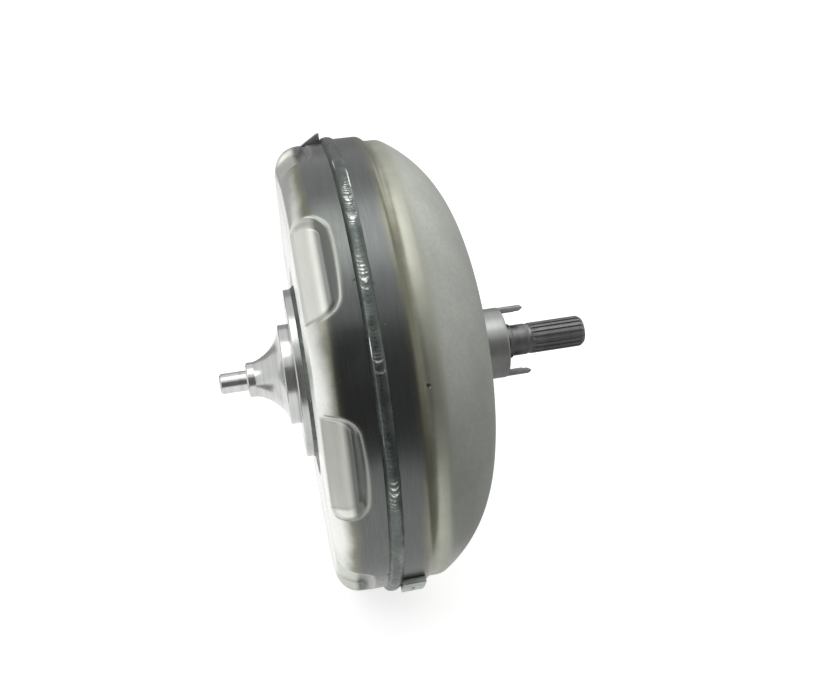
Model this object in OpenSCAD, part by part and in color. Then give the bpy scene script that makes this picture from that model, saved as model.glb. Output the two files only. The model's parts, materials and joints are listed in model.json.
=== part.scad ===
// Torque converter with a nose pilot, a drive ring and a splined turbine shaft.
// The shaft line runs along X: the crank side is -X and the transmission side is +X.
// The origin is the centre of the drive ring's mounting face. All sizes are in millimetres.

/* [Crank pilot] */
// Radius of the pilot stub
pilot_r = 7; // [5:0.5:9]
// Length of the pilot stub
pilot_l = 18.5; // [12:0.5:26]
// Radius of the collar behind the stub
collar_r = 12; // [10.5:0.5:15]
// Length of the collar
collar_l = 5.3; // [3:0.1:8]
// Length of the flare between the collar and the register disc
flare_l = 19.4; // [15:0.1:26]
// Radius of the register disc
disc_r = 34.4; // [30:0.1:36]
// Thickness of the register disc
disc_t = 7.2; // [4:0.1:12]
// Depth of the register disc's foot in the drive ring
disc_seat = 0.5; // [0.3:0.1:1.5]

/* [Drive ring] */
// Radius of the drive ring
ring_r = 57.6; // [55:0.1:62]
// Thickness of the drive ring
ring_t = 8.9; // [8:0.1:14]
// Number of threaded holes
bolt_count = 6; // [4:1:8]
// Pitch circle diameter of the threaded holes
bolt_pcd = 92; // [88:1:98]
// Radius of the threaded holes
bolt_hole_r = 4.25; // [3.4:0.05:5]
// Angle of the first threaded hole, from +Y towards +Z
bolt_a = 186; // [0:1:359]

/* [Front cover] */
// Wall of the cover
cover_wall = 4.5; // [3.5:0.1:6]
// How far the pads stand in front of the cover's centre face
pad_rise = 2; // [1:0.1:3]
// Length from the pads' front to the rim weld
skirt_l = 34.5; // [33:0.5:42]
// Radius of the cover's shoulder
shoulder_r = 16; // [12:0.5:18]
// Number of flat pockets pressed into the shoulder
pocket_count = 8; // [4:1:9]
// Width of a pocket round the cover
pocket_w = 62; // [40:1:70]
// Length of a pocket's floor, across the shoulder
pocket_l = 23.5; // [16:0.5:25]
// Angle between a pocket's floor and the shaft line
pocket_slope = 35; // [28:1:42]
// Depth of a pocket at its edge beside the rim
pocket_step = 1.5; // [1:0.1:3]
// Rounding of a pocket's corners
pocket_round = 6; // [3:0.5:8]
// Angle of the first pocket, from +Y towards +Z
pocket_a = 136; // [0:1:359]

/* [Impeller shell] */
// Outer radius of the band at the rim
rim_r = 152.5; // [140:0.5:184]
// Length of the band
band_l = 21; // [18:0.5:26]
// How far the shell steps down behind the band
step_drop = 3.5; // [2:0.1:5]
// Length from the band to the start of the bowl
step_l = 13; // [10:0.5:16]
// Depth of the bowl behind the step
bowl_depth = 42.5; // [38:0.5:52]
// Radius at which the bowl is deepest
crown_r = 76; // [72:0.5:80]
// Rounding of the bowl inside its deepest circle
crown_round = 30; // [26:0.5:34]
// How far the web stands in front of the crown
web_drop = 15; // [12:0.5:18]
// Wall of the impeller shell
shell_wall = 3.5; // [2.5:0.1:4]

/* [Pump hub] */
// Outer radius of the pump hub
hub_r = 25; // [24:0.1:27]
// Wall of the pump hub's tube
hub_wall = 4.6; // [3:0.1:5]
// Step from the ground journal down to the welded seat and the lugs
hub_step = 0.4; // [0.3:0.1:1]
// Length of the pump hub behind the web
hub_l = 44.3; // [36:0.1:54]
// Length of the drive lugs
lug_l = 17; // [10:0.5:24]
// Width of the drive lugs
lug_w = 14; // [8:0.5:18]
// Angle of the first lug, from +Y towards +Z
lug_a = 66; // [0:1:359]

/* [Turbine and shaft] */
// Radius of the turbine shaft
shaft_r = 11; // [10:0.1:12]
// Length of the shaft behind the pump hub
shaft_out = 59.6; // [50:0.1:72]
// Length of the output spline
spline_l = 39; // [30:0.5:46]
// Number of teeth on each spline of the shaft
spline_teeth = 18; // [14:1:24]
// Height of the spline teeth
spline_h = 1.3; // [0.8:0.1:1.8]
// Depth of the turbine in front of its rim
turbine_depth = 41; // [34:0.5:46]
// Wall of the turbine shell
turbine_wall = 2; // [1.5:0.1:3]
// Number of turbine blades
turbine_blade_count = 29; // [21:1:33]
// Number of rivets in the turbine hub
rivet_count = 12; // [8:1:16]

/* [Blading] */
// Number of impeller blades
impeller_blade_count = 31; // [21:1:35]
// Thickness of the impeller and turbine blades
blade_t = 1; // [0.8:0.1:1.5]
// Radius of the blades' curve
blade_curve = 150; // [110:5:200]
// Radius of the core ring's section
core_r = 21; // [19:0.5:23]
// Wall of the core rings
core_wall = 1.2; // [1:0.1:2]
// Number of stator blades
stator_blade_count = 19; // [13:1:23]

/* [Stator clutch and bearings] */
// Number of rollers in the one-way clutch
roller_count = 12; // [8:1:14]
// Radius of a roller
roller_r = 2.8; // [2.4:0.1:3]
// Outer radius of the clutch's inner race
race_r = 25; // [24:0.1:25.2]
// Radius of the inner race's bore, at the bottom of its spline grooves
race_bore_r = 20.4; // [19.6:0.1:22]
// Number of teeth in the inner race's bore
race_teeth = 24; // [18:1:30]
// Number of needles in each thrust bearing
needle_count = 24; // [16:1:28]
// Radius of a needle
needle_r = 0.9; // [0.7:0.1:1.2]

/* [Balance weights] */
// Length of the balance weight along the shaft line
weight_l = 14; // [8:0.5:16]
// Width of the balance weight round the rim
weight_w = 27; // [16:1:34]
// Thickness of the balance weight
weight_t = 4; // [2:0.5:6]
// Angle of the balance weight, from +Y towards +Z
weight_a = 223; // [0:1:359]
// Angle of the balance clip, from +Y towards +Z
clip_a = 79; // [0:1:359]

/* [Hidden] */
$fn = 96;
// Gap between pieces that are pressed, welded or brazed together
seat = 0.05;
// Gap between a blade and the shell that it is brazed to
braze = 0.25;
// Running clearance of a shaft in its bush
running = 0.05;
// Clearance between curved faces that turn past each other
clear = 0.3;

// Distance from the rim weld to the middle plane of the blading
mid_setback = 27;

// Stations along X, from the crank side to the transmission side
disc_x = -disc_t;
flare_x = disc_x - flare_l;
collar_x = flare_x - collar_l;
tip_x = collar_x - pilot_l;
pad_x = ring_t - pad_rise;
cover_inside_x = ring_t + cover_wall;
seam_x = pad_x + skirt_l;
band_end = seam_x + band_l;
bowl_x = band_end + step_l;
crown_x = bowl_x + bowl_depth;
web_x = crown_x - web_drop;
web_inside_x = web_x - shell_wall;
hub_end = web_x + hub_l;
journal_x = web_x + 4.5;
shaft_end = hub_end + shaft_out;
mid_x = seam_x + mid_setback;

// Ring-shaped hollow in the cover's centre face, round the drive ring
hollow_in = ring_r + 3;
hollow_out = ring_r + 14;
hollow_depth = 2;
// Where a pocket's floor ends beside the rim, behind the pads' front
pocket_x = shoulder_r + 4.5;
// Angle of the dimple on the step
dimple_a = 165;

// Radii and arcs of the shells
lap = 1.9;
cover_r = rim_r - lap;
step_r = rim_r - step_drop;
bowl_edge_r = step_r - 0.5;
bowl_h = bowl_edge_r - crown_r;
bowl_r = (bowl_depth * bowl_depth + bowl_h * bowl_h) / (2 * bowl_depth);
rotor_gap = 1.5;
turbine_rim_x = mid_x - rotor_gap;
turbine_rim_r = step_r - shell_wall - 2;
turbine_h = turbine_rim_r - crown_r;
turbine_arc_r = (turbine_depth * turbine_depth + turbine_h * turbine_h) / (2 * turbine_depth);
turbine_crown_x = turbine_rim_x - turbine_depth;
turbine_round = 27;
turbine_flange_r = 58;
turbine_flange_x = turbine_crown_x + turbine_round
    - sqrt(turbine_round * turbine_round - pow(crown_r - turbine_flange_r, 2));

// Torus core and the space kept for the stator
core_c = (crown_r + rim_r) / 2 - 14;
stator_hub_r = 55;
stator_tip_r = core_c - core_r;
stator_shroud = 2.5;
stator_zone_r = stator_tip_r + stator_shroud + 2.5;
stator_zone_x = 15.5;
stator_blade_l = 24;

// Clutch and thrust bearings, inside the stator
clutch_bore_r = 36;
stator_hub_l = 29;
race_spline_h = 1.4;
snap_t = 1.5;
snap_inset = 0.5;
side_plate_t = 2.7;
side_plate_out = stator_hub_l / 2 - snap_inset - snap_t - 0.1;
clutch_half = side_plate_out - side_plate_t - 0.1;
bearing_in = 26;
bearing_out = 34;
bearing_race_t = 1;
bearing_gap = 0.25;
bearing_l = 2 * (bearing_race_t + bearing_gap + needle_r + seat);
front_bearing_x = cover_inside_x;
middle_bearing_x = mid_x - side_plate_out - bearing_l;
rear_bearing_x = mid_x + side_plate_out;
turbine_hub_x = front_bearing_x + bearing_l;
turbine_hub_end = middle_bearing_x;
turbine_barrel_r = 35;
hub_flange_x = rear_bearing_x + bearing_l;
hub_seat_r = hub_r - hub_step;

// Shaft details
spigot_r = 9;
bush_wall = 2;
core_bore_r = spigot_r + bush_wall + running;
pilot_bore_x = -2.5;
pilot_spigot_r = 18;
land_x = hub_end - 6;
land_end = hub_end + 6.5;
land_r = shaft_r + 1.2;
seal_x = hub_end + 1.6;
seal_l = 2;

// Turns a flat profile of [radius, x] points about the shaft line
module revolve() rotate([0, 90, 0]) rotate_extrude() children();

// Extrudes a flat outline along X, from x0 to x1
module along_x(x0, x1) translate([x0, 0, 0]) rotate([0, 90, 0]) linear_extrude(x1 - x0) children();

module rod(r, x0, x1) translate([x0, 0, 0]) rotate([0, 90, 0]) cylinder(r = r, h = x1 - x0);

module ring(r_in, r_out, x0, x1)
    difference() {
        rod(r_out, x0, x1);
        rod(r_in, x0 - 1, x1 + 1);
    }

// Copies its children count times round the shaft line
module around(count, start = 0)
    for (i = [0:count - 1]) rotate([start + i * 360 / count, 0, 0]) children();

// Rectangle in profile space, from [r0, x0] to [r1, x1]
module patch(r0, r1, x0, x1) translate([r0, x0]) square([r1 - r0, x1 - x0]);

module chamfered_rod(r, x0, x1, c)
    revolve() polygon([[0, x0], [r - c, x0], [r, x0 + c], [r, x1], [0, x1]]);

// Outline of a straight-sided spline, with the root circle and the tip circle
module spline_outline(root_r, tip_r, teeth)
    intersection() {
        circle(tip_r);
        union() {
            circle(root_r);
            for (i = [0:teeth - 1]) rotate(i * 360 / teeth) spline_tooth(root_r, tip_r, teeth);
        }
    }

module spline_tooth(root_r, tip_r, teeth) {
    pitch = 2 * PI * root_r / teeth;
    polygon([
        [root_r - 1, -0.30 * pitch], [tip_r + 0.5, -0.19 * pitch],
        [tip_r + 0.5, 0.19 * pitch], [root_r - 1, 0.30 * pitch]
    ]);
}

// ---- Front side -------------------------------------------------------------

module crank_pilot() color("gainsboro")
    difference() {
        union() {
            chamfered_rod(pilot_r, tip_x, collar_x + 0.1, 1.2);
            chamfered_rod(collar_r, collar_x, flare_x + 0.1, 0.8);
            revolve() flare_profile();
            rod(disc_r, disc_x, 0);
            // Foot that seats in the drive ring, clear of its counterbore's wall
            rod(disc_r - 0.6, -0.1, disc_seat);
            rod(pilot_spigot_r, -0.1, cover_inside_x - 0.4);
        }
        rod(core_bore_r, pilot_bore_x, cover_inside_x + 1);
        // Centre hole for turning
        rod(1.6, tip_x - 1, tip_x + 5);
    }

// Concave flare that widens from the collar to the register disc
module flare_profile() {
    foot_r = disc_r - 3;
    rise = foot_r - collar_r;
    arc = (flare_l * flare_l + rise * rise) / (2 * rise) * 1.5;
    chord = sqrt(flare_l * flare_l + rise * rise);
    sag = sqrt(arc * arc - chord * chord / 4);
    middle = [(collar_r + foot_r) / 2, (flare_x + disc_x) / 2];
    normal = [flare_l, -rise] / chord;
    difference() {
        polygon([[0, flare_x], [collar_r, flare_x], [foot_r, disc_x], [foot_r, disc_x + 0.1],
            [0, disc_x + 0.1]]);
        translate(middle + normal * sag) circle(arc, $fn = 360);
    }
}

module drive_ring() color("silver")
    difference() {
        revolve() polygon([
            [pilot_spigot_r + seat, 0], [ring_r - 0.6, 0], [ring_r, 0.6],
            [ring_r, ring_t - seat], [pilot_spigot_r + seat, ring_t - seat]
        ]);
        // Counterbore for the register disc's foot
        rod(disc_r + seat, -1, disc_seat);
        around(bolt_count, bolt_a)
            translate([0, bolt_pcd / 2, 0]) rod(bolt_hole_r, -1, ring_t + 1);
    }

module pilot_weld() color("dimgray")
    revolve() polygon([
        [ring_r + seat, ring_t - 2.6], [ring_r + 0.9, ring_t - 2.2], [ring_r + 2.4, ring_t - 0.9],
        [ring_r + 2.8, ring_t - seat], [ring_r + seat, ring_t - seat]
    ]);

module pilot_bush() color("peru")
    ring(spigot_r + running, spigot_r + bush_wall, pilot_bore_x + 1, cover_inside_x - 1.2);

// Profile of everything behind the cover's surface, set in by t
module cover_profile(t) {
    r = cover_r - t;
    face_x = pad_x + t;
    hollow_x = ring_t + hollow_depth + t;
    difference() {
        union() {
            patch(0, r - shoulder_r + t, face_x, seam_x + t);
            patch(0, r, face_x + shoulder_r - t, seam_x + t);
            translate([cover_r - shoulder_r, pad_x + shoulder_r]) circle(shoulder_r - t);
        }
        // Centre face and the hollow that runs round the drive ring
        translate([-1, face_x - 1]) square([hollow_out + 1 - t / 3, pad_rise + 1]);
        polygon([
            [hollow_in + t / 3, ring_t + t - 0.1], [hollow_out - t / 3, ring_t + t - 0.1],
            [hollow_out - 3 - t / 3, hollow_x], [hollow_in + 2 + t / 3, hollow_x]
        ]);
    }
}

// Cutters whose flat bottoms make the pockets' floors, grown by t on every side
module pocket_cutters(t)
    around(pocket_count, pocket_a)
        translate([pad_x + pocket_x, cover_r - pocket_step, 0]) rotate([0, 0, pocket_slope])
            translate([0, -t, 0]) rotate([-90, 0, 0]) linear_extrude(30 + t)
                translate([-pocket_l - t, -pocket_w / 2 - t])
                    rounded_square(pocket_l + 2 * t, pocket_w + 2 * t, pocket_round + t);

module rounded_square(w, h, r) {
    translate([r, 0]) square([w - 2 * r, h]);
    translate([0, r]) square([w, h - 2 * r]);
    for (x = [r, w - r], y = [r, h - r]) translate([x, y]) circle(r);
}

module front_cover() color("darkgray")
    difference() {
        difference() {
            revolve() intersection() {
                cover_profile(0);
                patch(pilot_spigot_r + seat, rim_r, 0, seam_x - seat);
            }
            pocket_cutters(0);
            // Shallow groove between the pads and the rim
            revolve() translate([cover_r + 1.6, seam_x - 13]) circle(3);
        }
        difference() {
            revolve() cover_profile(cover_wall);
            pocket_cutters(cover_wall);
        }
    }

module rim_weld() color("slategray")
    revolve() difference() {
        translate([cover_r + 0.2, seam_x]) circle(3.7);
        patch(0, cover_r + seat, seam_x - 6, seam_x);
        patch(0, rim_r + seat, seam_x - 0.001, seam_x + 6);
    }

// ---- Impeller ---------------------------------------------------------------

// Profile of everything in front of the impeller shell's surface, set in by t
module impeller_profile(t) {
    far = rim_r + 10;
    patch(0, rim_r - t, seam_x - 5, band_end - 1.5);
    polygon([
        [0, band_end - 2], [rim_r - t, band_end - 2], [rim_r - t, band_end - 0.5],
        [step_r - t, band_end + 2.5], [step_r - t, bowl_x], [0, bowl_x]
    ]);
    intersection() {
        translate([crown_r, crown_x - bowl_r]) circle(bowl_r - t, $fn = 240);
        patch(crown_r, far, bowl_x - 0.01, crown_x);
    }
    intersection() {
        translate([crown_r, crown_x - crown_round]) circle(crown_round - t);
        patch(0, crown_r, bowl_x - 5, crown_x);
    }
    patch(0, crown_r, seam_x, web_x - t);
}

module impeller_shell() color("lightgray")
    difference() {
        revolve() difference() {
            intersection() {
                impeller_profile(0);
                patch(hub_seat_r + seat, rim_r + 1, seam_x + seat, crown_x + 1);
            }
            impeller_profile(shell_wall);
        }
        // Small dimple on the step
        rotate([dimple_a, 0, 0])
            translate([bowl_x - 3, step_r + 0.8, 0]) sphere(2, $fn = 48);
    }

// Curved plate that runs outwards along +Y
module blade_plate(x0, x1, lean) {
    r0 = stator_hub_r;
    r1 = rim_r;
    half = (r1 - r0) / 2;
    drop = sqrt(blade_curve * blade_curve - half * half);
    intersection() {
        rotate([lean, 0, 0]) translate([0, r0 + half, -drop])
            ring(blade_curve - blade_t, blade_curve, x0, x1);
        translate([x0, r0 - 2, -50]) cube([x1 - x0, r1 - r0 + 4, 100]);
    }
}

module impeller_blades() color("tan")
    around(impeller_blade_count) intersection() {
        revolve() difference() {
            intersection() {
                impeller_profile(shell_wall + braze);
                patch(stator_hub_r + 1, rim_r, mid_x + rotor_gap, crown_x);
            }
            translate([core_c, mid_x]) circle(core_r + braze);
            patch(0, stator_zone_r, mid_x - 5, mid_x + stator_zone_x);
        }
        blade_plate(mid_x + 1, crown_x, -6);
    }

// Half of the core torus, on the side given by the box from x0 to x1
module core_half(x0, x1)
    revolve() difference() {
        intersection() {
            translate([core_c, mid_x]) circle(core_r);
            patch(stator_zone_r, rim_r, x0, x1);
        }
        translate([core_c, mid_x]) circle(core_r - core_wall);
    }

module impeller_core_ring() color("burlywood") core_half(mid_x + rotor_gap, mid_x + core_r + 1);

module pump_hub() color("silver")
    difference() {
        union() {
            revolve() polygon([
                [hub_r - hub_wall, hub_flange_x], [turbine_barrel_r + 0.5, hub_flange_x],
                [turbine_barrel_r + 0.5, web_inside_x - 6], [42, web_inside_x - 6],
                [42, web_inside_x - seat], [hub_seat_r, web_inside_x - seat],
                [hub_seat_r, journal_x], [hub_r, journal_x], [hub_r, hub_end - 0.8],
                [hub_r - 0.8, hub_end], [hub_r - hub_wall, hub_end]
            ]);
            around(2, lug_a) drive_lug();
        }
        // Lead-in chamfer of the bore
        revolve() polygon([
            [0, hub_end - 1.2], [hub_r - hub_wall, hub_end - 1.2],
            [hub_r - hub_wall + 0.8, hub_end + 0.01], [0, hub_end + 0.01]
        ]);
    }

// Lug that carries on from the tube's wall and drives the pump
module drive_lug()
    intersection() {
        revolve() polygon([
            [hub_r - hub_wall + 0.8, hub_end - 2], [hub_seat_r, hub_end - 2],
            [hub_seat_r, hub_end + lug_l - 1], [hub_seat_r - 1, hub_end + lug_l],
            [hub_r - hub_wall + 2.4, hub_end + lug_l],
            [hub_r - hub_wall + 0.8, hub_end + lug_l - 3]
        ]);
        translate([hub_end - 3, 0, -lug_w / 2]) cube([lug_l + 6, hub_r + 5, lug_w]);
    }

module hub_weld() color("dimgray")
    revolve() difference() {
        patch(hub_seat_r + seat, hub_seat_r + 4, web_x + seat, web_x + 4);
        translate([hub_seat_r + 5.2, web_x + 5.2]) circle(4.6);
    }

module balance_weight() color("slategray")
    rotate([weight_a, 0, 0]) difference() {
        intersection() {
            ring(rim_r + seat, rim_r + weight_t, seam_x + 4.6, seam_x + 4.6 + weight_l);
            translate([seam_x, 0, -weight_w / 2]) cube([band_l + 10, rim_r + 10, weight_w]);
        }
        // Two spot-weld marks
        for (dz = [-3, 3])
            translate([seam_x + 4.6 + weight_l * 0.45, rim_r + weight_t - 0.8, dz])
                rotate([-90, 0, 0]) cylinder(r = 1.2, h = 10, $fn = 32);
    }

// Small wedge-shaped clip that rises towards the rim weld
module balance_clip() color("slategray")
    rotate([clip_a, 0, 0]) intersection() {
        revolve() polygon([
            [cover_r + seat, seam_x - 16], [cover_r + seat, seam_x - 3.8],
            [rim_r + 5, seam_x - 3.8], [rim_r + 4.4, seam_x - 5.6]
        ]);
        translate([seam_x - 20, 0, -3]) cube([20, rim_r + 12, 6]);
    }

// ---- Turbine ----------------------------------------------------------------

// Profile of everything behind the turbine shell's surface, set in by t
module turbine_profile(t) {
    intersection() {
        translate([crown_r, turbine_crown_x + turbine_arc_r]) circle(turbine_arc_r - t, $fn = 240);
        patch(crown_r, rim_r, turbine_crown_x, turbine_rim_x);
    }
    intersection() {
        translate([crown_r, turbine_crown_x + turbine_round]) circle(turbine_round - t);
        patch(0, crown_r, turbine_crown_x, turbine_crown_x + turbine_round);
    }
    patch(0, crown_r, turbine_flange_x + t, turbine_rim_x);
}

module turbine_shell() color("lightsteelblue")
    difference() {
        revolve() difference() {
            intersection() {
                turbine_profile(0);
                patch(turbine_barrel_r + 3, rim_r, 0, turbine_rim_x);
            }
            turbine_profile(turbine_wall);
            patch(0, crown_r, turbine_crown_x + turbine_round, turbine_rim_x + 1);
        }
        rivet_holes();
    }

rivet_r = 2.4;
rivet_at = 48;
hub_flange_t = 6;
turbine_flange_back = turbine_flange_x + turbine_wall;

module rivet_holes()
    around(rivet_count) translate([0, rivet_at, 0])
        rod(rivet_r + seat, turbine_flange_x - 1, turbine_flange_back + hub_flange_t + 1);

module turbine_hub() color("gray")
    difference() {
        union() {
            rod(turbine_barrel_r, turbine_hub_x, turbine_hub_end);
            rod(turbine_flange_r - 4, turbine_flange_back + seat, turbine_flange_back + hub_flange_t);
        }
        along_x(turbine_hub_x - 1, turbine_hub_end + 1)
            spline_outline(shaft_r - spline_h + seat, shaft_r + seat, spline_teeth);
        rivet_holes();
    }

module turbine_rivets() color("darkslategray")
    around(rivet_count) translate([0, rivet_at, 0]) {
        rod(rivet_r, turbine_flange_x - 1, turbine_flange_back + hub_flange_t + 1);
        rod(rivet_r + 1.8, turbine_flange_x - 2, turbine_flange_x - seat);
        rod(rivet_r + 1.8, turbine_flange_back + hub_flange_t + seat,
            turbine_flange_back + hub_flange_t + 2);
    }

module turbine_blades() color("tan")
    around(turbine_blade_count) intersection() {
        revolve() difference() {
            intersection() {
                turbine_profile(turbine_wall + braze);
                patch(turbine_flange_r + 1, rim_r, 0, turbine_rim_x);
            }
            translate([core_c, mid_x]) circle(core_r + braze);
            patch(0, stator_zone_r, mid_x - stator_zone_x, mid_x + 5);
        }
        blade_plate(turbine_crown_x, mid_x, 10);
    }

module turbine_core_ring() color("burlywood") core_half(mid_x - core_r - 1, turbine_rim_x);

module turbine_shaft() color("dimgray")
    difference() {
        union() {
            chamfered_rod(spigot_r, pilot_bore_x + 2, turbine_hub_x - 1, 0.8);
            rod(shaft_r - spline_h, turbine_hub_x - 3, shaft_end - spline_l);
            along_x(turbine_hub_x, turbine_hub_end)
                spline_outline(shaft_r - spline_h, shaft_r, spline_teeth);
            rod(shaft_r, turbine_hub_end + 0.1, shaft_end - spline_l - 3);
            rod(land_r, land_x, land_end);
            intersection() {
                along_x(shaft_end - spline_l, shaft_end)
                    spline_outline(shaft_r - spline_h, shaft_r, spline_teeth);
                revolve() polygon([
                    [0, shaft_end - spline_l - 1], [shaft_r + 1, shaft_end - spline_l - 1],
                    [shaft_r + 1, shaft_end - 2.6], [shaft_r - 1.8, shaft_end], [0, shaft_end]
                ]);
            }
        }
        // Groove of the retaining ring and groove of the seal ring
        ring(shaft_r - 2.6, shaft_r + 5, turbine_hub_x - 2.2, turbine_hub_x - 0.3);
        ring(land_r - 1.8, land_r + 5, seal_x - 0.1, seal_x + seal_l + 0.1);
        // Centre hole for turning
        rod(2, shaft_end - 5, shaft_end + 1);
    }

// Open ring with a gap on the +Y side
module open_ring(r_in, r_out, x0, x1, gap)
    difference() {
        ring(r_in, r_out, x0, x1);
        translate([x0 - 1, 0, -gap / 2]) cube([x1 - x0 + 2, r_out + 5, gap]);
    }

module shaft_retaining_ring() color("black")
    open_ring(shaft_r - 2.5, shaft_r + 2, turbine_hub_x - 2.1, turbine_hub_x - 0.4, 5);

module shaft_seal_ring() color("black")
    rotate([150, 0, 0]) open_ring(land_r - 1.7, land_r + 0.4, seal_x, seal_x + seal_l, 1);

// ---- Stator and one-way clutch ----------------------------------------------

module stator_blade()
    translate([mid_x, stator_hub_r - 1, 0]) rotate([-90, 0, 0])
        linear_extrude(stator_tip_r - stator_hub_r + 2) stator_blade_outline();

// Crescent with its round side towards the turbine
module stator_blade_outline() {
    back_r = 13;
    rotate(28) translate([0, 4 - back_r]) difference() {
        circle(back_r);
        translate([0, -7]) circle(back_r + 3);
    }
}

module stator_wheel() color("lightblue")
    difference() {
        union() {
            ring(clutch_bore_r, stator_hub_r, mid_x - stator_hub_l / 2, mid_x + stator_hub_l / 2);
            ring(stator_tip_r, stator_tip_r + stator_shroud,
                mid_x - stator_blade_l / 2, mid_x + stator_blade_l / 2);
            around(stator_blade_count) stator_blade();
        }
        for (x0 = [mid_x - stator_hub_l / 2 + snap_inset, mid_x + stator_hub_l / 2 - snap_inset - snap_t])
            ring(clutch_bore_r - 1, clutch_bore_r + 1.6, x0 - 0.05, x0 + snap_t + 0.05);
    }

module stator_retaining_rings() color("black")
    for (x0 = [mid_x - stator_hub_l / 2 + snap_inset, mid_x + stator_hub_l / 2 - snap_inset - snap_t])
        open_ring(bearing_out + 0.6, clutch_bore_r + 1.5, x0, x0 + snap_t, 8);

roller_at = race_r + clear + roller_r;
roller_pocket_r = roller_r + 0.2;
spring_l = 3.4;

// Angle at a radius that a length along the circle takes
function arc_angle(length, radius) = length / radius * 180 / PI;

module clutch_outer_race() color("steelblue")
    along_x(mid_x - clutch_half, mid_x + clutch_half) difference() {
        circle(clutch_bore_r - seat);
        circle(race_r + clear + 2.2);
        for (i = [0:roller_count - 1]) rotate(i * 360 / roller_count) {
            translate([roller_at, 0]) circle(roller_pocket_r);
            rotate(arc_angle(roller_r + spring_l, roller_at))
                translate([roller_at - 2.6, -spring_l]) square([4.2, 2 * spring_l]);
        }
    }

module clutch_rollers() color("gainsboro")
    for (i = [0:roller_count - 1]) rotate([-i * 360 / roller_count, 0, 0])
        translate([0, 0, -roller_at]) rod(roller_r, mid_x - clutch_half + 0.3, mid_x + clutch_half - 0.3);

module clutch_springs() color("goldenrod")
    along_x(mid_x - 5, mid_x + 5)
        for (i = [0:roller_count - 1])
            rotate(i * 360 / roller_count + arc_angle(roller_r + spring_l, roller_at))
                translate([roller_at - 1.3, 0]) folded_strip(spring_l - 0.4, 2.4, 5, 0.25);

// Zigzag of a thin strip: half is half its length and the folds are depth deep
module folded_strip(half, depth, folds, t) {
    step = 2 * half / folds;
    front = [for (i = [0:folds]) [i % 2 == 0 ? 0 : depth, -half + i * step]];
    back = [for (i = [folds:-1:0]) [(i % 2 == 0 ? 0 : depth) + t, -half + i * step]];
    polygon(concat(front, back));
}

module clutch_side_plates() color("goldenrod") {
    ring(race_r + clear, clutch_bore_r - 0.2, mid_x - side_plate_out, mid_x - side_plate_out + side_plate_t);
    ring(race_r + clear, clutch_bore_r - 0.2, mid_x + side_plate_out - side_plate_t, mid_x + side_plate_out);
}

module clutch_inner_race() color("cadetblue")
    difference() {
        rod(race_r, mid_x - side_plate_out, mid_x + side_plate_out);
        along_x(mid_x - side_plate_out - 1, mid_x + side_plate_out + 1)
            spline_outline(race_bore_r - race_spline_h, race_bore_r, race_teeth);
    }

// ---- Thrust bearings --------------------------------------------------------

module bearing_race(x0) ring(bearing_in, bearing_out, x0, x0 + bearing_race_t);

module bearing_race_front(x0) bearing_race(x0 + seat);

module bearing_race_back(x0) bearing_race(x0 + bearing_l - seat - bearing_race_t);

module bearing_needles(x0) color("gainsboro")
    around(needle_count) translate([x0 + bearing_l / 2, bearing_in + 1, 0])
        rotate([-90, 0, 0]) cylinder(r = needle_r, h = bearing_out - bearing_in - 2, $fn = 32);

module bearing_cage(x0) color("goldenrod")
    difference() {
        ring(bearing_in, bearing_out, x0 + bearing_l / 2 - 0.6, x0 + bearing_l / 2 + 0.6);
        around(needle_count)
            translate([x0, bearing_in + 0.9, -needle_r - 0.1])
                cube([bearing_l, bearing_out - bearing_in - 1.8, 2 * needle_r + 0.2]);
    }

front_cover();
drive_ring();
crank_pilot();
pilot_weld();
pilot_bush();
rim_weld();
impeller_shell();
impeller_blades();
impeller_core_ring();
pump_hub();
hub_weld();
balance_weight();
balance_clip();
color("silver") bearing_race_front(front_bearing_x);  // front_bearing_race_cover
color("silver") bearing_race_back(rear_bearing_x);  // rear_bearing_race_hub
turbine_shell();
turbine_blades();
turbine_core_ring();
turbine_hub();
turbine_rivets();
turbine_shaft();
shaft_retaining_ring();
shaft_seal_ring();
color("silver") bearing_race_back(front_bearing_x);  // front_bearing_race_turbine
color("silver") bearing_race_front(middle_bearing_x);  // middle_bearing_race_turbine
stator_wheel();
clutch_outer_race();
clutch_rollers();
clutch_springs();
clutch_side_plates();
stator_retaining_rings();
color("silver") bearing_race_back(middle_bearing_x);  // middle_bearing_race_stator
color("silver") bearing_race_front(rear_bearing_x);  // rear_bearing_race_stator
clutch_inner_race();
bearing_cage(front_bearing_x);  // front_bearing_cage
bearing_needles(front_bearing_x);  // front_bearing_needles
bearing_cage(middle_bearing_x);  // middle_bearing_cage
bearing_needles(middle_bearing_x);  // middle_bearing_needles
bearing_cage(rear_bearing_x);  // rear_bearing_cage
bearing_needles(rear_bearing_x);  // rear_bearing_needles
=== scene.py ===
"""Looks of a hydraulic torque converter, built round its packed mechanical frame.

The shaft line runs along X: the crank side is -X and the transmission side is +X. Sizes inside the
classes are in millimetres, and every mesh is written in metres in the frame of the CAD model.
"""

import json
import logging
import math
from collections.abc import Callable, Sequence
from dataclasses import dataclass
from enum import Enum

import bmesh
import bpy
import numpy as np
from mathutils import Matrix, Vector

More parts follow.
